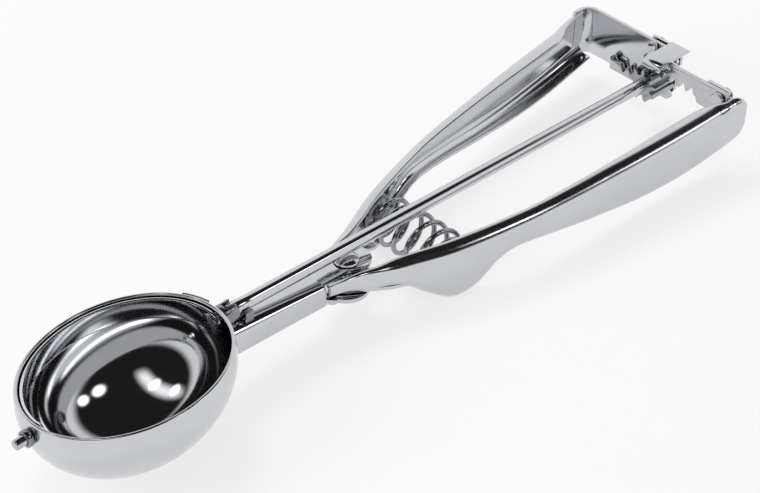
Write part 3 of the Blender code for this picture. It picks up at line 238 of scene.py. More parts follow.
def steel(name, bright, dark, gloss, dull, smear_mm, grain_mm, grain_way=(1, 1, 1), depth=0.002):
    """Bare stainless steel: colour drifts from bright to dark and roughness from gloss to dull in smears, and
    the last polishing or rolling leaves fine lines, grain_mm apart, along grain_way's smallest number."""
    made = bpy.data.materials.new(name)
    made.use_nodes = True
    tree = made.node_tree
    shader = tree.nodes["Principled BSDF"]
    where = add(tree, "ShaderNodeTexCoord").outputs["Object"]
    smear = add(tree, "ShaderNodeTexNoise", None,
                {"Vector": where, "Scale": 1 / (smear_mm * MM), "Detail": 4.0, "Roughness": 0.6,
                 "Distortion": 0.4})
    tint = add(tree, "ShaderNodeMix", {"data_type": "RGBA"},
               {"Factor": smear.outputs["Fac"], "A": linear(bright), "B": linear(dark)})
    rough = add(tree, "ShaderNodeMapRange", None,
                {"Value": smear.outputs["Fac"], "From Min": 0.35, "From Max": 0.75,
                 "To Min": gloss, "To Max": dull})
    along_grain = add(tree, "ShaderNodeMapping", None, {"Vector": where, "Scale": grain_way})
    grain = add(tree, "ShaderNodeTexNoise", None,
                {"Vector": along_grain.outputs["Vector"], "Scale": 1 / (grain_mm * MM), "Detail": 2.0})
    relief = add(tree, "ShaderNodeBump", None,
                 {"Height": grain.outputs["Fac"], "Strength": 1.0, "Distance": depth * MM})
    tree.links.new(tint.outputs["Result"], shader.inputs["Base Color"])
    tree.links.new(rough.outputs["Result"], shader.inputs["Roughness"])
    tree.links.new(relief.outputs["Normal"], shader.inputs["Normal"])
    shader.inputs["Metallic"].default_value = 1.0
    return made


buffed = steel("buffed_stainless_bowl_outside", "D6D7DA", "C6C7CA", 0.13, 0.20, 14, 0.25, depth=0.0012)
mirror = steel("mirror_polished_stainless_bowl_inside", "C9CACC", "BBBCBF", 0.045, 0.10, 11, 0.5,
               depth=0.0004)


def laid(name, bm, materials, sharp=35, place=LIE):
    """Lays a mesh drawn in the scoop's millimetres where the scoop lies, smooth up to the sharp angle."""
    bmesh.ops.transform(bm, matrix=place, verts=bm.verts)
    mesh = bpy.data.meshes.new(name)
    bm.to_mesh(mesh)
    bm.free()
    for material in materials:
        mesh.materials.append(material)
    mesh.shade_smooth()
    mesh.set_sharp_from_angle(angle=radians(sharp))
    made = bpy.data.objects.new(name, mesh)
    bpy.context.collection.objects.link(made)
    return made


def skin(rings, start=None, end=None, ringed=False):
    """Quads between neighbouring closed rings; start and end close it in a point, ringed joins last to
    first."""
    bm = bmesh.new()
    rows = [[bm.verts.new(point) for point in ring] for ring in rings]
    pairs = list(zip(rows, rows[1:])) + ([(rows[-1], rows[0])] if ringed else [])
    for row, following in pairs:
        for k in range(len(row)):
            bm.faces.new((row[k - 1], row[k], following[k], following[k - 1]))
    for point, row in ((start, rows[0]), (end, rows[-1])):
        if point is not None:
            tip = bm.verts.new(point)
            for k in range(len(row)):
                bm.faces.new((row[k - 1], row[k], tip))
    return bm


def oval(half_length, half_width, height, around=192):
    """A level ring round a spheroid of those half axes, drawn at a height above its middle."""
    shrink = sqrt(max(0.0, 1 - (height / half_width) ** 2))
    angles = [2 * pi * k / around for k in range(around)]
    return [(half_length * shrink * cos(a), half_width * shrink * sin(a), height) for a in angles]


def spheroid_rings(half_length, half_width, top, rings=64):
    """Level rings of a spheroid from a height down to just above its bottom."""
    start = acos(top / half_width)
    for k in range(rings):
        yield oval(half_length, half_width, half_width * cos(start + (pi - start) * k / rings))


outside = list(spheroid_rings(BOWL_HALF_LENGTH, BOWL_HALF_WIDTH, RIM_HEIGHT - LIP))
inside = list(spheroid_rings(BOWL_HALF_LENGTH - BOWL_WALL, BOWL_HALF_WIDTH - BOWL_WALL, RIM_HEIGHT - LIP))
lip = []
for k in range(1, LIP_STEPS):
    turn = pi * k / LIP_STEPS
    inward = BOWL_WALL * (1 - cos(turn)) / 2
    level = oval(BOWL_HALF_LENGTH - inward, BOWL_HALF_WIDTH - inward, RIM_HEIGHT - LIP)
    lip.append([(x, y, z + LIP * sin(turn)) for x, y, z in level])
rows = list(reversed(outside)) + lip + inside
bm = skin(rows, start=(0, 0, -BOWL_HALF_WIDTH), end=(0, 0, -BOWL_HALF_WIDTH + BOWL_WALL))
bmesh.ops.recalc_face_normals(bm, faces=bm.faces)
bowl_middle = Vector((0, 0, RIM_HEIGHT))
for face in bm.faces:
    face.material_index = 1 if face.normal.dot(face.calc_center_median() - bowl_middle) < 0 else 0
bowl = laid("bowl_shell", bm, [buffed, mirror], 60, BOWL_PLACE)
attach(bowl, "frame")
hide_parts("bowl")

# Scraper blade. A strip of spring-hard stainless sheet bent to the bowl's inside and polished bright, with
# softened edges and round ends at the stud and the hub; it lies under the far rim until the handles are
# squeezed.
BLADE_WIDTH, BLADE_THICKNESS, BLADE_GAP, BLADE_REST = 6.5, 0.7, 0.5, radians(0.6)
BLADE_END, BLADE_EDGE = 0.3, 0.15
blade_steel = steel("polished_spring_stainless_blade", "E2E3E5", "D2D3D6", 0.06, 0.13, 9, 0.18, (0.25, 1, 1),
                    0.0012)
length = BOWL_HALF_LENGTH - BOWL_WALL - BLADE_GAP
width = BOWL_HALF_WIDTH - BOWL_WALL - BLADE_GAP
half = BLADE_WIDTH / 2
past = half / width
bm = bmesh.new()
bmesh.ops.create_grid(bm, x_segments=180, y_segments=14, size=1)
for vert in bm.verts:
    angle = pi / 2 - vert.co.x * (pi / 2 + past)
    over = max(0.0, abs(vert.co.x) * (pi / 2 + past) - pi / 2) * width
    across = vert.co.y * sqrt(max(half ** 2 - over ** 2, (BLADE_END * half) ** 2))
    shrink = sqrt(1 - (across / width) ** 2)
    vert.co = (length * cos(angle) * shrink, width * sin(angle) * shrink, across)
bm.normal_update()
if sum(face.normal.dot(face.calc_center_median()) for face in bm.faces) < 0:
    bmesh.ops.reverse_faces(bm, faces=bm.faces)
bmesh.ops.rotate(bm, cent=(0, 0, 0), matrix=Matrix.Rotation(BLADE_REST, 3, "X"), verts=bm.verts)
sheet = laid("blade_sheet", bm, [blade_steel], 35, BOWL_PLACE)
wall = sheet.modifiers.new("wall", "SOLIDIFY")
wall.thickness = BLADE_THICKNESS * MM
wall.offset = -1
wall.use_even_offset = True
soft_edge = sheet.modifiers.new("soft_edge", "BEVEL")
soft_edge.width = BLADE_EDGE * MM
soft_edge.segments = 2
soft_edge.limit_method = "ANGLE"
soft_edge.angle_limit = radians(50)


def finished(name, draft, sharp=35):
    """Makes a plain mesh of a draft object with its modifiers, and takes the draft away."""
    graph = bpy.context.evaluated_depsgraph_get()
    mesh = bpy.data.meshes.new_from_object(draft.evaluated_get(graph))
    mesh.name = name
    bpy.data.objects.remove(draft)
    mesh.shade_smooth()
    mesh.set_sharp_from_angle(angle=radians(sharp))
    made = bpy.data.objects.new(name, mesh)
    bpy.context.collection.objects.link(made)
    return made


blade = finished("blade_strip", sheet)
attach(blade, "blade")
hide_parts("scraper_blade")

# Nose stud, its collar, the blade's hub and the rod's saddle. Turned from bar, so duller than the sheet: the
# stud is riveted through the blade and turns in the collar, and the hub's fork takes the flat end of the rod,
# which the saddle carries. Stud and collar are slimmer than their solids.
STUD_SLIMMER = 0.78
turned_steel = steel("turned_stainless_bar", "C4C5C8", "AEAFB3", 0.14, 0.24, 5, 0.12, depth=0.0015)
dark_turned = steel("turned_stainless_fork", "9A9BA0", "7E7F85", 0.18, 0.3, 4, 0.12, depth=0.0015)


def dressed(name, nodes, body, material, edge_mm=0.12, sharp=35, change=None):
    """Copies CAD nodes as one merged mesh whose edges are broken as on the real piece, in place of the
    nodes. The change, if one is given, alters the copy first, in the scoop's millimetres."""
    bm = bmesh.new()
    for node in nodes:
        bm.from_mesh(frame["nodes"][node].data)
    bmesh.ops.remove_doubles(bm, verts=bm.verts, dist=1e-6)
    bmesh.ops.dissolve_limit(bm, angle_limit=radians(0.5), verts=bm.verts, edges=bm.edges)
    if change:
        bmesh.ops.transform(bm, matrix=LIE.inverted(), verts=bm.verts)
        change(bm)
        bmesh.ops.transform(bm, matrix=LIE, verts=bm.verts)
    for face in bm.faces:
        face.material_index = 0
    draft = laid(name, bm, [material], sharp, Matrix())
    if edge_mm:
        edge = draft.modifiers.new("broken_edge", "BEVEL")
        edge.width = edge_mm * MM
        edge.segments = 2
        edge.limit_method = "ANGLE"
        edge.angle_limit = radians(sharp)
    made = finished(name, draft, sharp)
    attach(made, body)
    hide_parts(*nodes)


def slimmer(bm):
    """Narrows a piece turned about the bowl's long axis."""
    axis = LIE.inverted() @ BOWL_PLACE
    narrow = axis @ Matrix.Diagonal((1, STUD_SLIMMER, STUD_SLIMMER, 1)) @ axis.inverted()
    bmesh.ops.transform(bm, matrix=narrow, verts=bm.verts)


dressed("nose_stud", ["front_stud"], "blade", turned_steel, change=slimmer)
dressed("nose_collar", ["stud_collar"], "frame", dark_turned, change=slimmer)
dressed("fork_hub", ["blade_hub"], "blade", dark_turned)
dressed("rod_saddle", ["rod_cradle"], "frame", dark_turned)

# Rim tab. A narrow dull strip rolled close along the outside of the rim, where the blade's end comes to rest;
# it is drawn thinner than its solid and its ends are rounded off.
TAB_RADIUS, TAB_FROM, TAB_TO, TAB_BELOW, TAB_STEPS = 0.55, 8, 26, 0.8, 48
TAB_OUT, TAB_ROUND_FROM, TAB_ROUND_SQUARED = 0.6, 0.94, 0.0037
level = RIM_HEIGHT - TAB_BELOW
shrink = sqrt(1 - (level / BOWL_HALF_WIDTH) ** 2)


def arc(centre, radius, start, end, steps):
    """Points of an arc, angles in degrees."""
    for k in range(steps + 1):
        angle = radians(start + (end - start) * k / steps)
        yield centre[0] + radius * cos(angle), centre[1] + radius * sin(angle)


rings = []
for k in range(TAB_STEPS + 1):
    angle = radians(TAB_FROM + (TAB_TO - TAB_FROM) * k / TAB_STEPS)
    near_end = max(0, abs(k - TAB_STEPS / 2) / (TAB_STEPS / 2) - TAB_ROUND_FROM)
    size = TAB_RADIUS * sqrt(1 - near_end ** 2 / TAB_ROUND_SQUARED)
    ring = []
    for out, up in arc((TAB_OUT * TAB_RADIUS, 0), size, 0, 345, 23):
        length, width = BOWL_HALF_LENGTH * shrink + out, BOWL_HALF_WIDTH * shrink + out
        ring.append((length * cos(angle), width * sin(angle), level + up))
    rings.append(ring)
bm = skin(rings)
bmesh.ops.holes_fill(bm, edges=bm.edges)
bmesh.ops.recalc_face_normals(bm, faces=bm.faces)
tab = laid("rim_roll", bm, [dark_turned], 60, BOWL_PLACE)
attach(tab, "frame")
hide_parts("rim_tab")

# Drive rod. Cold-drawn bright bar, centreless ground and polished along its length, with faint lines left
# along it by the polishing belt.
ROD_RINGS = (-33, -32, -20, 0, 30, 60, 90, 112, 113, 113.5)
rod_steel = steel("polished_drawn_bar", "D4D5D8", "BFC0C4", 0.05, 0.12, 20, 0.2, (0.15, 1, 1), 0.0015)


def ringed(bm):
    """Edges round the rod, which keep its shading straight past the flat tongue at its front."""
    for x in ROD_RINGS:
        parts = bm.verts[:] + bm.edges[:] + bm.faces[:]
        bmesh.ops.bisect_plane(bm, geom=parts, plane_co=(x, 0, 0), plane_no=(1, 0, 0))


dressed("polished_rod", ["drive_rod"], "rod", rod_steel, 0.1, change=ringed)

# Neck. One polished stainless sheet folded to a closed tube, round at the bowl and squarer at the back, where
# its top runs out into the upper ear and a stepped strip carries the lower ear under the handles' eyes.
NECK_WALL, NECK_HALF = 1.1, 5.0
NECK_FRONT, NECK_REAR = (-47.0, -2.7, -12.8, 4.7), (-11.5, -4.3, -11.3, 1.6)
EAR, EYE, BUSH, GAP = 1.2, 1.0, 0.9, 0.3
UPPER_EAR_RADIUS, UPPER_EAR_X, LOWER_EAR_RADIUS = 5.1, 2.2, 6.4
RIVET_RADIUS = 1.8
EAR_ROOT, STEP_FRONT, STEP_REAR, STEP_LEAN = NECK_REAR[0] - 4.4, NECK_REAR[0] + 0.8, -7.0, 0.6
WELD, SHEET_EDGE, SEAT_TOP, FORK_ROOM_LENGTH, FORK_ROOM_RADIUS = 0.05, 0.15, 22.0, 4.9, 3.2
NECK_STEPS = 40
neck_steel = steel("polished_stainless_neck", "D0D1D4", "BDBEC2", 0.05, 0.11, 16, 0.3, (0.2, 1, 1), 0.0010)


def neck_ring(t, shrink):
    """The tube's rounded section at a share t of its length, shrunk evenly for the inside."""
    x, top, bottom, corner = [a + (b - a) * t for a, b in zip(NECK_FRONT, NECK_REAR)]
    top, bottom, half, corner = top - shrink, bottom + shrink, NECK_HALF - shrink, max(corner - shrink, 0.3)
    ring = []
    for centre, start in (((half - corner, top - corner), 0), ((corner - half, top - corner), 90),
                          ((corner - half, bottom + corner), 180), ((half - corner, bottom + corner), 270)):
        ring += [(x, y, z) for y, z in arc(centre, corner, start, start + 90, 14)]
    return ring


def plate(outline, thickness, turn, edge):
    """A flat sheet of an outline with broken edges, thickness centred on its plane."""
    curve = bpy.data.curves.new("outline", "CURVE")
    curve.dimensions = "2D"
    curve.fill_mode = "BOTH"
    curve.extrude = thickness / 2
    spline = curve.splines.new("POLY")
    spline.points.add(len(outline) - 1)
    for point, (across, up) in zip(spline.points, outline):
        point.co = (across, up, 0, 1)
    spline.use_cyclic_u = True
    holder = bpy.data.objects.new("outline", curve)
    bpy.context.collection.objects.link(holder)
    graph = bpy.context.evaluated_depsgraph_get()
    mesh = bpy.data.meshes.new_from_object(holder.evaluated_get(graph))
    bpy.data.objects.remove(holder)
    bm = bmesh.new()
    bm.from_mesh(mesh)
    bpy.data.meshes.remove(mesh)
    bmesh.ops.remove_doubles(bm, verts=bm.verts, dist=0.001)
    bmesh.ops.dissolve_limit(bm, angle_limit=radians(0.5), verts=bm.verts, edges=bm.edges)
    if edge:
        rims = [e for e in bm.edges if len(e.link_faces) == 2 and e.calc_face_angle() > radians(60)]
        bmesh.ops.bevel(bm, geom=rims, offset=edge, segments=2, profile=0.5, affect="EDGES")
    bmesh.ops.recalc_face_normals(bm, faces=bm.faces)
    bmesh.ops.transform(bm, matrix=turn, verts=bm.verts)
    return bm


def column(start, end, radius, turn, segments=48):
    """A round bar along an axis."""
    bm = bmesh.new()
    bmesh.ops.create_cone(bm, cap_ends=True, segments=segments, radius1=radius, radius2=radius,
                          depth=end - start)
    bmesh.ops.translate(bm, vec=(0, 0, (start + end) / 2), verts=bm.verts)
    bmesh.ops.transform(bm, matrix=turn, verts=bm.verts)
    return bm


def worked(name, draft, steps):
    """Welds and cuts a draft piece with others, one after another, and finishes it."""
    tools = []
    for operation, bm, place in steps:
        tool = laid("tool", bm, draft.data.materials, place=place)
        tools.append(tool)
        step = draft.modifiers.new("step", "BOOLEAN")
        step.operation = operation
        step.solver = "MANIFOLD"
        step.object = tool
    made = finished(name, draft)
    for tool in tools:
        bpy.data.objects.remove(tool)
    return made


def facing_y(y):
    """Stands a plate drawn flat on its edge, facing along Y at a place."""
    return Matrix(((1, 0, 0, 0), (0, 0, -1, y), (0, 1, 0, 0), (0, 0, 0, 1)))


ALONG_X = Matrix.Rotation(pi / 2, 4, "Y")
low_top = NECK_REAR[1] - EAR - 4 * EYE - BUSH - 6 * GAP
low_bottom = low_top - EAR
outer = [neck_ring(k / NECK_STEPS, 0) for k in range(NECK_STEPS + 1)]
inner = [neck_ring(k / NECK_STEPS, NECK_WALL) for k in range(NECK_STEPS + 1)]
bm = skin(outer + list(reversed(inner)), ringed=True)
bmesh.ops.recalc_face_normals(bm, faces=bm.faces)
tube = laid("neck_tube", bm, [neck_steel])
flat = NECK_HALF - NECK_REAR[3]
side = degrees(acos(flat / UPPER_EAR_RADIUS))
ear = [(EAR_ROOT, -flat)] + list(arc((UPPER_EAR_X, 0), UPPER_EAR_RADIUS, -90 - side, 90 + side, 64))
ear.append((EAR_ROOT, flat))
tube_bottom = NECK_REAR[2] + 2 * WELD
strip = [(EAR_ROOT, tube_bottom), (STEP_FRONT, tube_bottom), (STEP_REAR, low_bottom), (0, low_bottom),
         (0, low_top), (STEP_REAR + STEP_LEAN, low_top), (STEP_FRONT + STEP_LEAN, tube_bottom + EAR),
         (EAR_ROOT, tube_bottom + EAR)]
seat = skin(list(spheroid_rings(BOWL_HALF_LENGTH + GAP, BOWL_HALF_WIDTH + GAP, SEAT_TOP)))
bmesh.ops.holes_fill(seat, edges=seat.edges)
bmesh.ops.recalc_face_normals(seat, faces=seat.faces)
fork_room = column(BOWL_HALF_LENGTH, BOWL_HALF_LENGTH + FORK_ROOM_LENGTH, FORK_ROOM_RADIUS, ALONG_X)
neck = worked("neck_and_ears", tube, [
    ("UNION", plate(ear, EAR, Matrix.Translation((0, 0, NECK_REAR[1] - WELD - EAR / 2)), SHEET_EDGE), LIE),
    ("UNION", plate(strip, 2 * flat, facing_y(0), SHEET_EDGE), LIE),
    ("UNION", column(low_bottom - WELD, low_top - WELD, LOWER_EAR_RADIUS, Matrix(), 96), LIE),
    ("DIFFERENCE", column(low_bottom - 4, NECK_REAR[1] + 4, RIVET_RADIUS + GAP, Matrix()), LIE),
    ("DIFFERENCE", seat, BOWL_PLACE),
    ("DIFFERENCE", fork_room, BOWL_PLACE)])
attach(neck, "frame")
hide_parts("neck")

# Pivot rivet and bush. A domed rivet of bright steel clenched through both ears and the four handle eyes,
# with a short bush between the eyes.
rivet_steel = steel("polished_rivet", "CFD0D3", "B9BABE", 0.06, 0.14, 6, 0.2, depth=0.001)
dressed("domed_pivot_rivet", ["pivot_rivet"], "frame", rivet_steel, 0)
dressed("eye_bush", ["hinge_bush"], "frame", dark_turned, 0.08)

# Handles. Each is a channel pressed from 1 mm sheet with rounded flanges and a finger bulge, mirror polished,
# with eyes round the rivet and an end plate bent in across the back. The top flanges narrow at the rear and
# the near handle's lower one is cut away there, so that the racks pass.
SHEET, HANDLE_FRONT, CORNER, LEAST_ROUND = 1.0, -11.0, 4.0, 0.15
CORNER_SHARE, CORNER_OF_HEIGHT, CORNER_OF_TOP = 0.8, 0.42, 0.97
LEFT_REAR, RIGHT_REAR = 122.8, 121.9
OUTER_LINE = [(-11, 6.2), (-4, 6.5), (0, 7.2), (5, 9.3), (12, 12.3), (25, 17.6), (45, 22.6), (60, 25.2),
              (75, 27.2), (90, 28.9), (105, 30.2), (123, 31.2)]
FLANGE_LINE = [(-11, 1.7), (2, 1.9), (10, 3.7), (24, 4.4), (48, 4.2), (72, 5.0), (96, 6.0), (123, 5.8)]
REAR_FLANGES = {"left": [(-11, 9), (105, 6.2), (112, 5.2), (116.3, 3.3), (119, 3.2), (122.8, 1.2)],
                "right": [(-11, 9), (104, 6.2), (109, 5.0), (113.5, 2.8), (123, 1.6)]}
REAR_ROUND = {"left": (2.8, 2.8), "right": (0, 0)}
TOP_LINE = [(-11, -3.8), (-4, -4.5), (6, -4.4), (14, -3.5), (60, 1.5), (123, 8.2)]
BOTTOM_LINE = [(-11, -7.4), (-5, -8.8), (0, -10.4), (6, -11.2), (12, -13.0), (18, -17.0), (24, -20.0),
               (30, -18.3), (36, -12.7), (42, -10.1), (50, -9.9), (72, -11.2), (88, -11.3), (104, -9.9),
               (123, -6.3)]
EYE_RADIUS, EYE_END = 4.4, 380
UPPER_EYE, LOWER_EYE = (-3.5, 10.0, 180), (7.0, 14.0, 135)
RACK_TOP, PLATE_TOP, PLATE_SHEET, BEND, BEND_RUN = 8.8, 7.2, 1.2, 4.0, 3.0
RAISED_TO, RAISED_LAP, PLATE_CORNER, PLATE_STEP, PLATE_EDGE = 26.6, 2.4, 4.0, (-1.2, 3.5), 0.18
STATIONS, STATIONS_AT_END, STATION_SPREAD = 150, 14, 1.15
handle_steel = steel("mirror_polished_stainless_handle", "D3D4D7", "C3C4C8", 0.13, 0.19, 22, 0.35,
                     (0.15, 1, 1), 0.0007)


def block(low, high):
    """A box between two corners."""
    bm = bmesh.new()
    bmesh.ops.create_cube(bm, size=1)
    low, high = Vector(low), Vector(high)
    bmesh.ops.scale(bm, vec=high - low, verts=bm.verts)
    bmesh.ops.translate(bm, vec=(low + high) / 2, verts=bm.verts)
    return bm


def facing_x(x):
    """Stands a plate drawn flat on its edge, facing along X at a place."""
    return Matrix(((0, 0, 1, x), (1, 0, 0, 0), (0, 1, 0, 0), (0, 0, 0, 1)))


def read_line(line, x):
    """Reads a smooth curve through a line's points."""
    at = min(max(x, line[0][0]), line[-1][0])
    last = len(line) - 1
    slopes = []
    for i in range(last + 1):
        before, after = line[max(i - 1, 0)], line[min(i + 1, last)]
        slopes.append((after[1] - before[1]) / (after[0] - before[0]))
    i = max(k for k in range(last) if line[k][0] <= at)
    (x0, y0), (x1, y1) = line[i], line[i + 1]
    span = x1 - x0
    t = (at - x0) / span
    return ((2 * t ** 3 - 3 * t ** 2 + 1) * y0 + (t ** 3 - 2 * t ** 2 + t) * span * slopes[i]
            + (3 * t ** 2 - 2 * t ** 3) * y1 + (t ** 3 - t ** 2) * span * slopes[i + 1])


def section(x, rear, hand):
    """The channel's outside, top and bottom at x, its flanges' widths and its corners' radii. Towards a
    free rear end the section grows lower, which rounds the end as seen from the side."""
    outer, top, bottom = read_line(OUTER_LINE, x), read_line(TOP_LINE, x), read_line(BOTTOM_LINE, x)
    top_round, bottom_round = REAR_ROUND[hand]
    top -= top_round - sqrt(top_round ** 2 - max(x - rear + top_round, 0) ** 2)
    bottom += bottom_round - sqrt(bottom_round ** 2 - max(x - rear + bottom_round, 0) ** 2)
    low_width = read_line(FLANGE_LINE, x)
    top_width = min(low_width, read_line(REAR_FLANGES[hand], x))
    corner = min(CORNER, CORNER_SHARE * low_width, CORNER_OF_HEIGHT * (top - bottom))
    top_corner = min(corner, CORNER_OF_TOP * top_width - SHEET / 2)
    return outer, top, bottom, top_width, low_width, top_corner, corner


def channel_ring(x, rear, hand, side):
    """Closed section of the sheet channel: round the outside between the flange edges and back inside."""
    outer, top, bottom, top_width, low_width, top_corner, corner = section(x, rear, hand)
    small_top, small = max(top_corner - SHEET, LEAST_ROUND), max(corner - SHEET, LEAST_ROUND)
    edge = SHEET / 2
    ring = list(arc((outer - top_width + edge, top - edge), edge, 270, 90, 6))
    ring += arc((outer - top_corner, top - top_corner), top_corner, 90, 0, 16)
    ring += arc((outer - corner, bottom + corner), corner, 0, -90, 16)
    ring += arc((outer - low_width + edge, bottom + edge), edge, 270, 90, 6)
    ring += arc((outer - SHEET - small, bottom + SHEET + small), small, -90, 0, 12)
    ring += arc((outer - SHEET - small_top, top - SHEET - small_top), small_top, 0, 90, 12)
    return [(x, side * y, z) for y, z in ring]


def corner_waste(start, rear, hand, side):
    """What lies outside the channel's rounded top corner, to trim a plate that is welded inside it."""
    clear_out, clear_up, lap = 2, 3, 0.02
    rings = []
    for k in range(31):
        x = start + (rear + 1 - start) * k / 30
        outer, top, _, _, _, corner, _ = section(min(x, rear - 0.01), rear, hand)
        ring = list(arc((outer - corner, top - corner), corner + lap, 90, 0, 12))
        ring += [(outer + clear_out, top - corner), (outer + clear_out, top + clear_up),
                 (outer - corner, top + clear_up)]
        rings.append([(x, side * y, z) for y, z in ring])
    bm = skin(rings)
    bmesh.ops.holes_fill(bm, edges=bm.edges)
    bmesh.ops.recalc_face_normals(bm, faces=bm.faces)
    return bm


def eye_plate(side, top, kind):
    """A flat eye round the rivet. Its kind gives where along X its root meets the web and its round's
    start."""
    first, last, start = kind
    roots = (last, (first + last) / 2, first)
    outline = [(x, side * (read_line(OUTER_LINE, x) - 0.5 * SHEET)) for x in roots]
    outline += [(x, side * y) for x, y in arc((0, 0), EYE_RADIUS, start, EYE_END, 48)]
    return plate(outline, EYE, Matrix.Translation((0, 0, top - EYE / 2)), SHEET_EDGE)


def end_plate(side, turn_x, plate_x, plate_end, plate_low, plate_top, bend_inset):
    """The sheet welded inside the web, which bends in and runs across the handle's back."""
    near, far = bend_inset, bend_inset + PLATE_SHEET
    outer, inner = [], []
    for k in range(6):
        x = turn_x - BEND_RUN * (1 - k / 5)
        outer.append((x, read_line(OUTER_LINE, x) - near))
        inner.append((x, read_line(OUTER_LINE, x) - far))
    centre_y = read_line(OUTER_LINE, turn_x) - near - BEND
    outer += list(arc((turn_x, centre_y), BEND, 90, 0, 20))[1:]
    inner += list(arc((turn_x, centre_y), BEND - PLATE_SHEET, 90, 0, 20))[1:]
    plan = outer + [(plate_x + PLATE_SHEET, plate_end), (plate_x, plate_end)] + list(reversed(inner))
    plan = [(x, side * y) for x, y in plan]
    middle = Matrix.Translation((0, 0, (plate_low + plate_top) / 2))
    return plate(plan, plate_top - plate_low, middle, PLATE_EDGE)


def plate_waste(plate_x, plate_end, plate_low):
    """What the right plate's free end loses: its lower corner's outside and a step that passes the rod."""
    waste = list(arc((plate_end + PLATE_CORNER, plate_low + PLATE_CORNER), PLATE_CORNER, 180, 270, 16))
    out = plate_end - 1, plate_low - 1
    waste += [(plate_end + PLATE_CORNER, out[1]), out, (out[0], RACK_TOP + 1), (PLATE_STEP[0], RACK_TOP + 1),
              PLATE_STEP, (plate_end, PLATE_STEP[1])]
    return plate(waste, 3 * PLATE_SHEET, facing_x(plate_x + PLATE_SHEET / 2), 0)


def handle(hand, side, rear, plate_x, plate_end, plate_low, plate_top, bend_inset, reliefs, holes):
    """One handle: its channel, eyes and end plate, less its reliefs, rivet bore and holes. A relief is a box
    given by two corners, and a hole through the end plate is its radius, Y and Z."""
    end = max(REAR_ROUND[hand])
    straight = rear - end - HANDLE_FRONT
    shares = [(k / STATIONS) ** STATION_SPREAD for k in range(STATIONS + 1)]
    stations = [HANDLE_FRONT + straight * share for share in shares]
    if end:
        turns = [sin(pi / 2 * k / STATIONS_AT_END) for k in range(1, STATIONS_AT_END)]
        stations += [rear - end + end * turn for turn in turns] + [rear - 0.001]
    bm = skin([channel_ring(x, rear, hand, side) for x in stations])
    bmesh.ops.holes_fill(bm, edges=bm.edges)
    bmesh.ops.recalc_face_normals(bm, faces=bm.faces)
    draft = laid(hand + "_channel", bm, [handle_steel])
    work = [("DIFFERENCE", block(low, high), LIE) for low, high in reliefs]
    step = EYE + GAP
    top = NECK_REAR[1] - EAR - GAP - (step if hand == "left" else 0)
    work.append(("UNION", eye_plate(side, top, UPPER_EYE), LIE))
    work.append(("UNION", eye_plate(side, top - (2 * step + BUSH + GAP), LOWER_EYE), LIE))
    turn_x = plate_x + PLATE_SHEET - BEND
    bent = end_plate(side, turn_x, plate_x, plate_end, plate_low, plate_top, bend_inset)
    work.append(("UNION", bent, LIE))
    if hand == "left":
        work.append(("DIFFERENCE", corner_waste(turn_x - BEND_RUN - 2, rear, hand, side), LIE))
        y0, y1 = sorted((side * plate_end, side * RAISED_TO))
        raised = block((plate_x, y0, plate_top - RAISED_LAP), (plate_x + PLATE_SHEET, y1, RACK_TOP))
        work.append(("UNION", raised, LIE))
    bore = column(low_top, NECK_REAR[1], RIVET_RADIUS + GAP, Matrix())
    work.append(("DIFFERENCE", bore, LIE))
    for radius, y, z in holes:
        at = Matrix.Translation((plate_x + PLATE_SHEET / 2, y, z)) @ ALONG_X
        work.append(("DIFFERENCE", column(-3 * PLATE_SHEET, 3 * PLATE_SHEET, radius, at, 32), LIE))
    if hand == "right":
        work.append(("DIFFERENCE", plate_waste(plate_x, plate_end, plate_low), LIE))
    made = worked(hand + "_handle_channel", draft, work)
    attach(made, hand + "_arm")
    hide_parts(hand + "_handle")


lower_edge = read_line(OUTER_LINE, LEFT_REAR) - SHEET - GAP
handle("left", side=-1, rear=LEFT_REAR, plate_x=119.6, plate_end=19.0, plate_low=-2.0, plate_top=PLATE_TOP,
       bend_inset=0.9, reliefs=[((116.0, -lower_edge, -16), (246, 0, -2.6))], holes=[(1.4, -25.0, 6.6)])
handle("right", side=1, rear=RIGHT_REAR, plate_x=124.7, plate_end=-4.3, plate_low=-6.5, plate_top=8.4,
       bend_inset=0.0, reliefs=[], holes=[(1.1, 4.5, 7.0)])

# Racks and the upper one's rivet. Blanked from flat strip: the upper rack's teeth point down and the lower
# rack's up, so both drive the pinion between them; blanking leaves the teeth duller than the polished sheet.
# The upper rack is riveted to its plate and the lower one spot-welded.
blanked = steel("blanked_stainless_strip", "C9CACD", "B3B4B8", 0.12, 0.22, 6, 0.15, (1, 0.3, 1), 0.002)
dressed("upper_rack_strip", ["upper_rack"], "left_arm", blanked, 0.1)
dressed("upper_rack_pin", ["upper_rack_rivet"], "left_arm", rivet_steel, 0.1)
dressed("lower_rack_strip", ["lower_rack"], "right_arm", blanked, 0.1)

# Pinion. A long pinion milled from bar and pressed on the rod's end, where both racks drive it. Milling
# leaves it greyer and duller than the rod; one tooth is repeated round its core.
TEETH, MODULE, ADDENDUM, DEDENDUM, BACKLASH = 9, 0.95, 0.85, 1.15, 0.24
PINION_FRONT, PINION_LENGTH, TOOTH_EDGE, CORE_SHORT, CORE_LAP = 114.8, 9.6, 0.08, 0.02, 0.05
milled = steel("milled_stainless_pinion", "B4B5B9", "96979C", 0.14, 0.28, 4, 0.1, (0.2, 1, 1), 0.002)
pitch_radius = MODULE * TEETH / 2
half_tooth = pi * MODULE / 4 - BACKLASH / 2
flank = [(-DEDENDUM - 0.6, 0.66), (-DEDENDUM, 0.70), (-0.35 * ADDENDUM, 0.98), (0, 1), (0.5 * ADDENDUM, 0.74),
         (ADDENDUM, 0.40)]
right = [((pitch_radius + up) * sin(share * half_tooth / (pitch_radius + up)),
          (pitch_radius + up) * cos(share * half_tooth / (pitch_radius + up))) for up, share in flank]
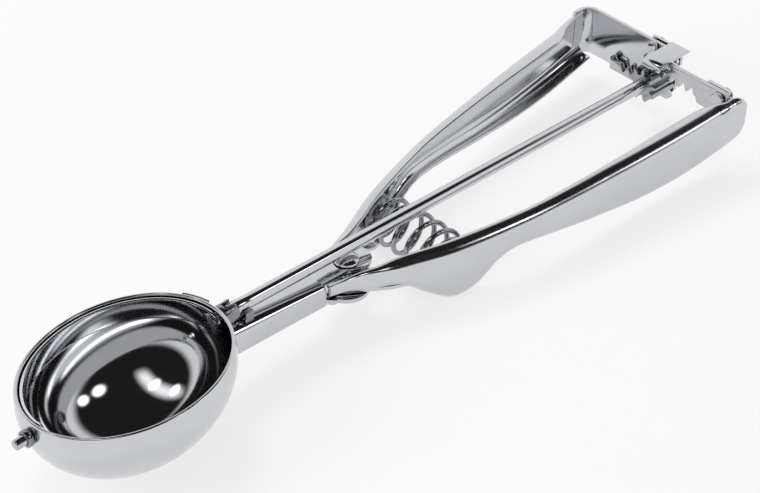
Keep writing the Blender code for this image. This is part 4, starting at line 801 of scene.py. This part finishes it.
tooth_outline = right + [(-across, up) for across, up in reversed(right)]
tooth = plate(tooth_outline, PINION_LENGTH, facing_x(0), TOOTH_EDGE)
tooth = laid("pinion_tooth", tooth, [milled], 20, Matrix())
half, core_radius = PINION_LENGTH / 2 - CORE_SHORT, pitch_radius - DEDENDUM + CORE_LAP
core = laid("pinion_core", column(-half, half, core_radius, ALONG_X, 64), [milled], 20, Matrix())


def node_tree(name, inputs):
    """A Geometry Nodes tree with named inputs beside its geometry, and the node that gives them."""
    tree = bpy.data.node_groups.new(name, "GeometryNodeTree")
    for title, kind in [("Geometry", "Geometry")] + inputs:
        tree.interface.new_socket(title, in_out="INPUT", socket_type="NodeSocket" + kind)
    tree.interface.new_socket("Geometry", in_out="OUTPUT", socket_type="NodeSocketGeometry")
    return tree, add(tree, "NodeGroupInput")


def end_tree(tree, geometry, metal):
    """Ends a tree in one real mesh of a metal."""
    real = add(tree, "GeometryNodeRealizeInstances", None, {"Geometry": geometry})
    coated = add(tree, "GeometryNodeSetMaterial", None, {"Geometry": real.outputs[0], "Material": metal})
    add(tree, "NodeGroupOutput", None, {"Geometry": coated.outputs[0]})


def set_inputs(modifier, values):
    """Sets a node modifier's named inputs by their identifiers."""
    names = {item.name: item.identifier for item in modifier.node_group.interface.items_tree
             if item.in_out == "INPUT"}
    for name, value in values.items():
        modifier[names[name]] = value


tree, given = node_tree("teeth_round_a_pinion",
                        [("Tooth", "Object"), ("Teeth", "Int"), ("Metal", "Material")])
seats = add(tree, "GeometryNodePoints", None, {"Count": given.outputs["Teeth"]})
number = add(tree, "GeometryNodeInputIndex")
apart = add(tree, "ShaderNodeMath", {"operation": "DIVIDE"}, {0: 2 * pi, 1: given.outputs["Teeth"]})
turned = add(tree, "ShaderNodeMath", {"operation": "MULTIPLY"}, {0: number.outputs[0], 1: apart.outputs[0]})
turn = add(tree, "ShaderNodeCombineXYZ", None, {"X": turned.outputs[0]})
shape = add(tree, "GeometryNodeObjectInfo", None, {"Object": given.outputs["Tooth"]})
copies = add(tree, "GeometryNodeInstanceOnPoints", None,
             {"Points": seats.outputs[0], "Instance": shape.outputs["Geometry"], "Rotation": turn.outputs[0]})
whole = add(tree, "GeometryNodeJoinGeometry")
tree.links.new(given.outputs["Geometry"], whole.inputs[0])
tree.links.new(copies.outputs[0], whole.inputs[0])
end_tree(tree, whole.outputs[0], given.outputs["Metal"])
teeth = core.modifiers.new("teeth", "NODES")
teeth.node_group = tree
set_inputs(teeth, {"Tooth": tooth, "Teeth": TEETH, "Metal": milled})
core.data.update()
draft = finished("pinion_draft", core, 20)
bpy.data.objects.remove(tooth)
bm = bmesh.new()
bm.from_mesh(draft.data)
bpy.data.objects.remove(draft)
bmesh.ops.translate(bm, vec=(PINION_FRONT + PINION_LENGTH / 2, 0, 0), verts=bm.verts)
pinion = laid("milled_pinion", bm, [milled], 20)
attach(pinion, "rod")
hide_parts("pinion")

# Guide strap. A short polished strap riveted behind the right plate and bent forward over the upper rack,
# which it holds down on the pinion.
strap_steel = steel("polished_stainless_strap", "D0D1D4", "BCBDC1", 0.06, 0.13, 8, 0.25, (1, 0.3, 1), 0.001)
dressed("bent_strap", ["guide_strap"], "right_arm", strap_steel, 0.15)
dressed("strap_pin", ["strap_rivet"], "right_arm", rivet_steel, 0.1)

# Return spring. Chromed spring wire, glossy, its colour darkened below the sheet's as painted shade for the
# dark reflections along its coils;
# wound in six turns between the seats on the handles' webs; the end turns lie closer and a little narrower.
SPRING_X, SPRING_Z, WIRE, MIDDLE_RADIUS, END_RADIUS = 26.0, -9.8, 1.4, 6.4, 5.2
TURNS, CLOSE_PITCH, FINE, WIRE_SIDES = 6, 2.3, 36, 20
SEAT_Y, NARROW_FROM, NARROW_OVER = 13.6, 0.78, 0.2
# The wire's colour is darkened as painted shade, standing in for the dark reflections in its coils.
darkened_wire = steel("chromed_spring_wire_painted_shade", "A3A4A9", "8E8F94", 0.05, 0.10, 5, 0.2, depth=0.0006)
half = SEAT_Y - GAP - WIRE
open_pitch = (2 * half - 2 * CLOSE_PITCH) / (TURNS - 2)
points = []
for k in range(TURNS * FINE + 1):
    turn = k / FINE
    close_turns, open_turns = min(turn, 1) + max(turn - TURNS + 1, 0), min(max(turn - 1, 0), TURNS - 2)
    y = -half + CLOSE_PITCH * close_turns + open_pitch * open_turns
    t = min(max((abs(y) / half - NARROW_FROM) / NARROW_OVER, 0), 1)
    radius = MIDDLE_RADIUS + (END_RADIUS - MIDDLE_RADIUS) * t * t * (3 - 2 * t)
    points.append((SPRING_X + radius * cos(2 * pi * turn), y, SPRING_Z + radius * sin(2 * pi * turn)))
tail = Vector((0, WIRE, 0))
points = [Vector(points[0]) - tail] + points + [Vector(points[-1]) + tail]
bm = bmesh.new()
path = [bm.verts.new(point) for point in points]
for a, b in zip(path, path[1:]):
    bm.edges.new((a, b))
coil = laid("spring_path", bm, [darkened_wire])
tree, given = node_tree("wire_along_a_path",
                        [("Wire radius", "Float"), ("Sides", "Int"), ("Metal", "Material")])
line = add(tree, "GeometryNodeMeshToCurve", None, {"Mesh": given.outputs["Geometry"]})
round_wire = add(tree, "GeometryNodeCurvePrimitiveCircle", None,
                 {"Resolution": given.outputs["Sides"], "Radius": given.outputs["Wire radius"]})
wire = add(tree, "GeometryNodeCurveToMesh", None,
           {"Curve": line.outputs[0], "Profile Curve": round_wire.outputs[0], "Fill Caps": True})
smooth = add(tree, "GeometryNodeSetShadeSmooth", None, {0: wire.outputs[0]})
end_tree(tree, smooth.outputs[0], given.outputs["Metal"])
sweep = coil.modifiers.new("wire", "NODES")
sweep.node_group = tree
set_inputs(sweep, {"Wire radius": WIRE / 2 * MM, "Sides": WIRE_SIDES, "Metal": darkened_wire})
coil.data.update()
spring = finished("return_coil", coil, 50)
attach(spring, "frame")
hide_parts("return_spring")
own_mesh(spring)

# Spring seats. Turned cups, duller than the webs that they are welded to. The boss on each keeps the spring's
# end in its place; it is slimmer than the solid's, to stay clear of the coil as the handles close.
BOSS_SLIMMER, SEAT_FACE_END, BOSS_REACH = 0.7, 0.4, 4.5
seat_steel = steel("turned_stainless_seat", "A9AAAE", "909196", 0.16, 0.3, 5, 0.15, depth=0.0015)


def slim_boss(bm):
    """Narrows a seat's boss about the spring's axis."""
    for vert in bm.verts:
        off_x, off_z = vert.co.x - SPRING_X, vert.co.z - SPRING_Z
        if abs(vert.co.y) < SEAT_Y + SEAT_FACE_END and off_x ** 2 + off_z ** 2 < BOSS_REACH ** 2:
            vert.co.x, vert.co.z = SPRING_X + BOSS_SLIMMER * off_x, SPRING_Z + BOSS_SLIMMER * off_z


dressed("left_seat_cup", ["left_spring_seat"], "left_arm", seat_steel, 0.15, change=slim_boss)
dressed("right_seat_cup", ["right_spring_seat"], "right_arm", seat_steel, 0.15, change=slim_boss)
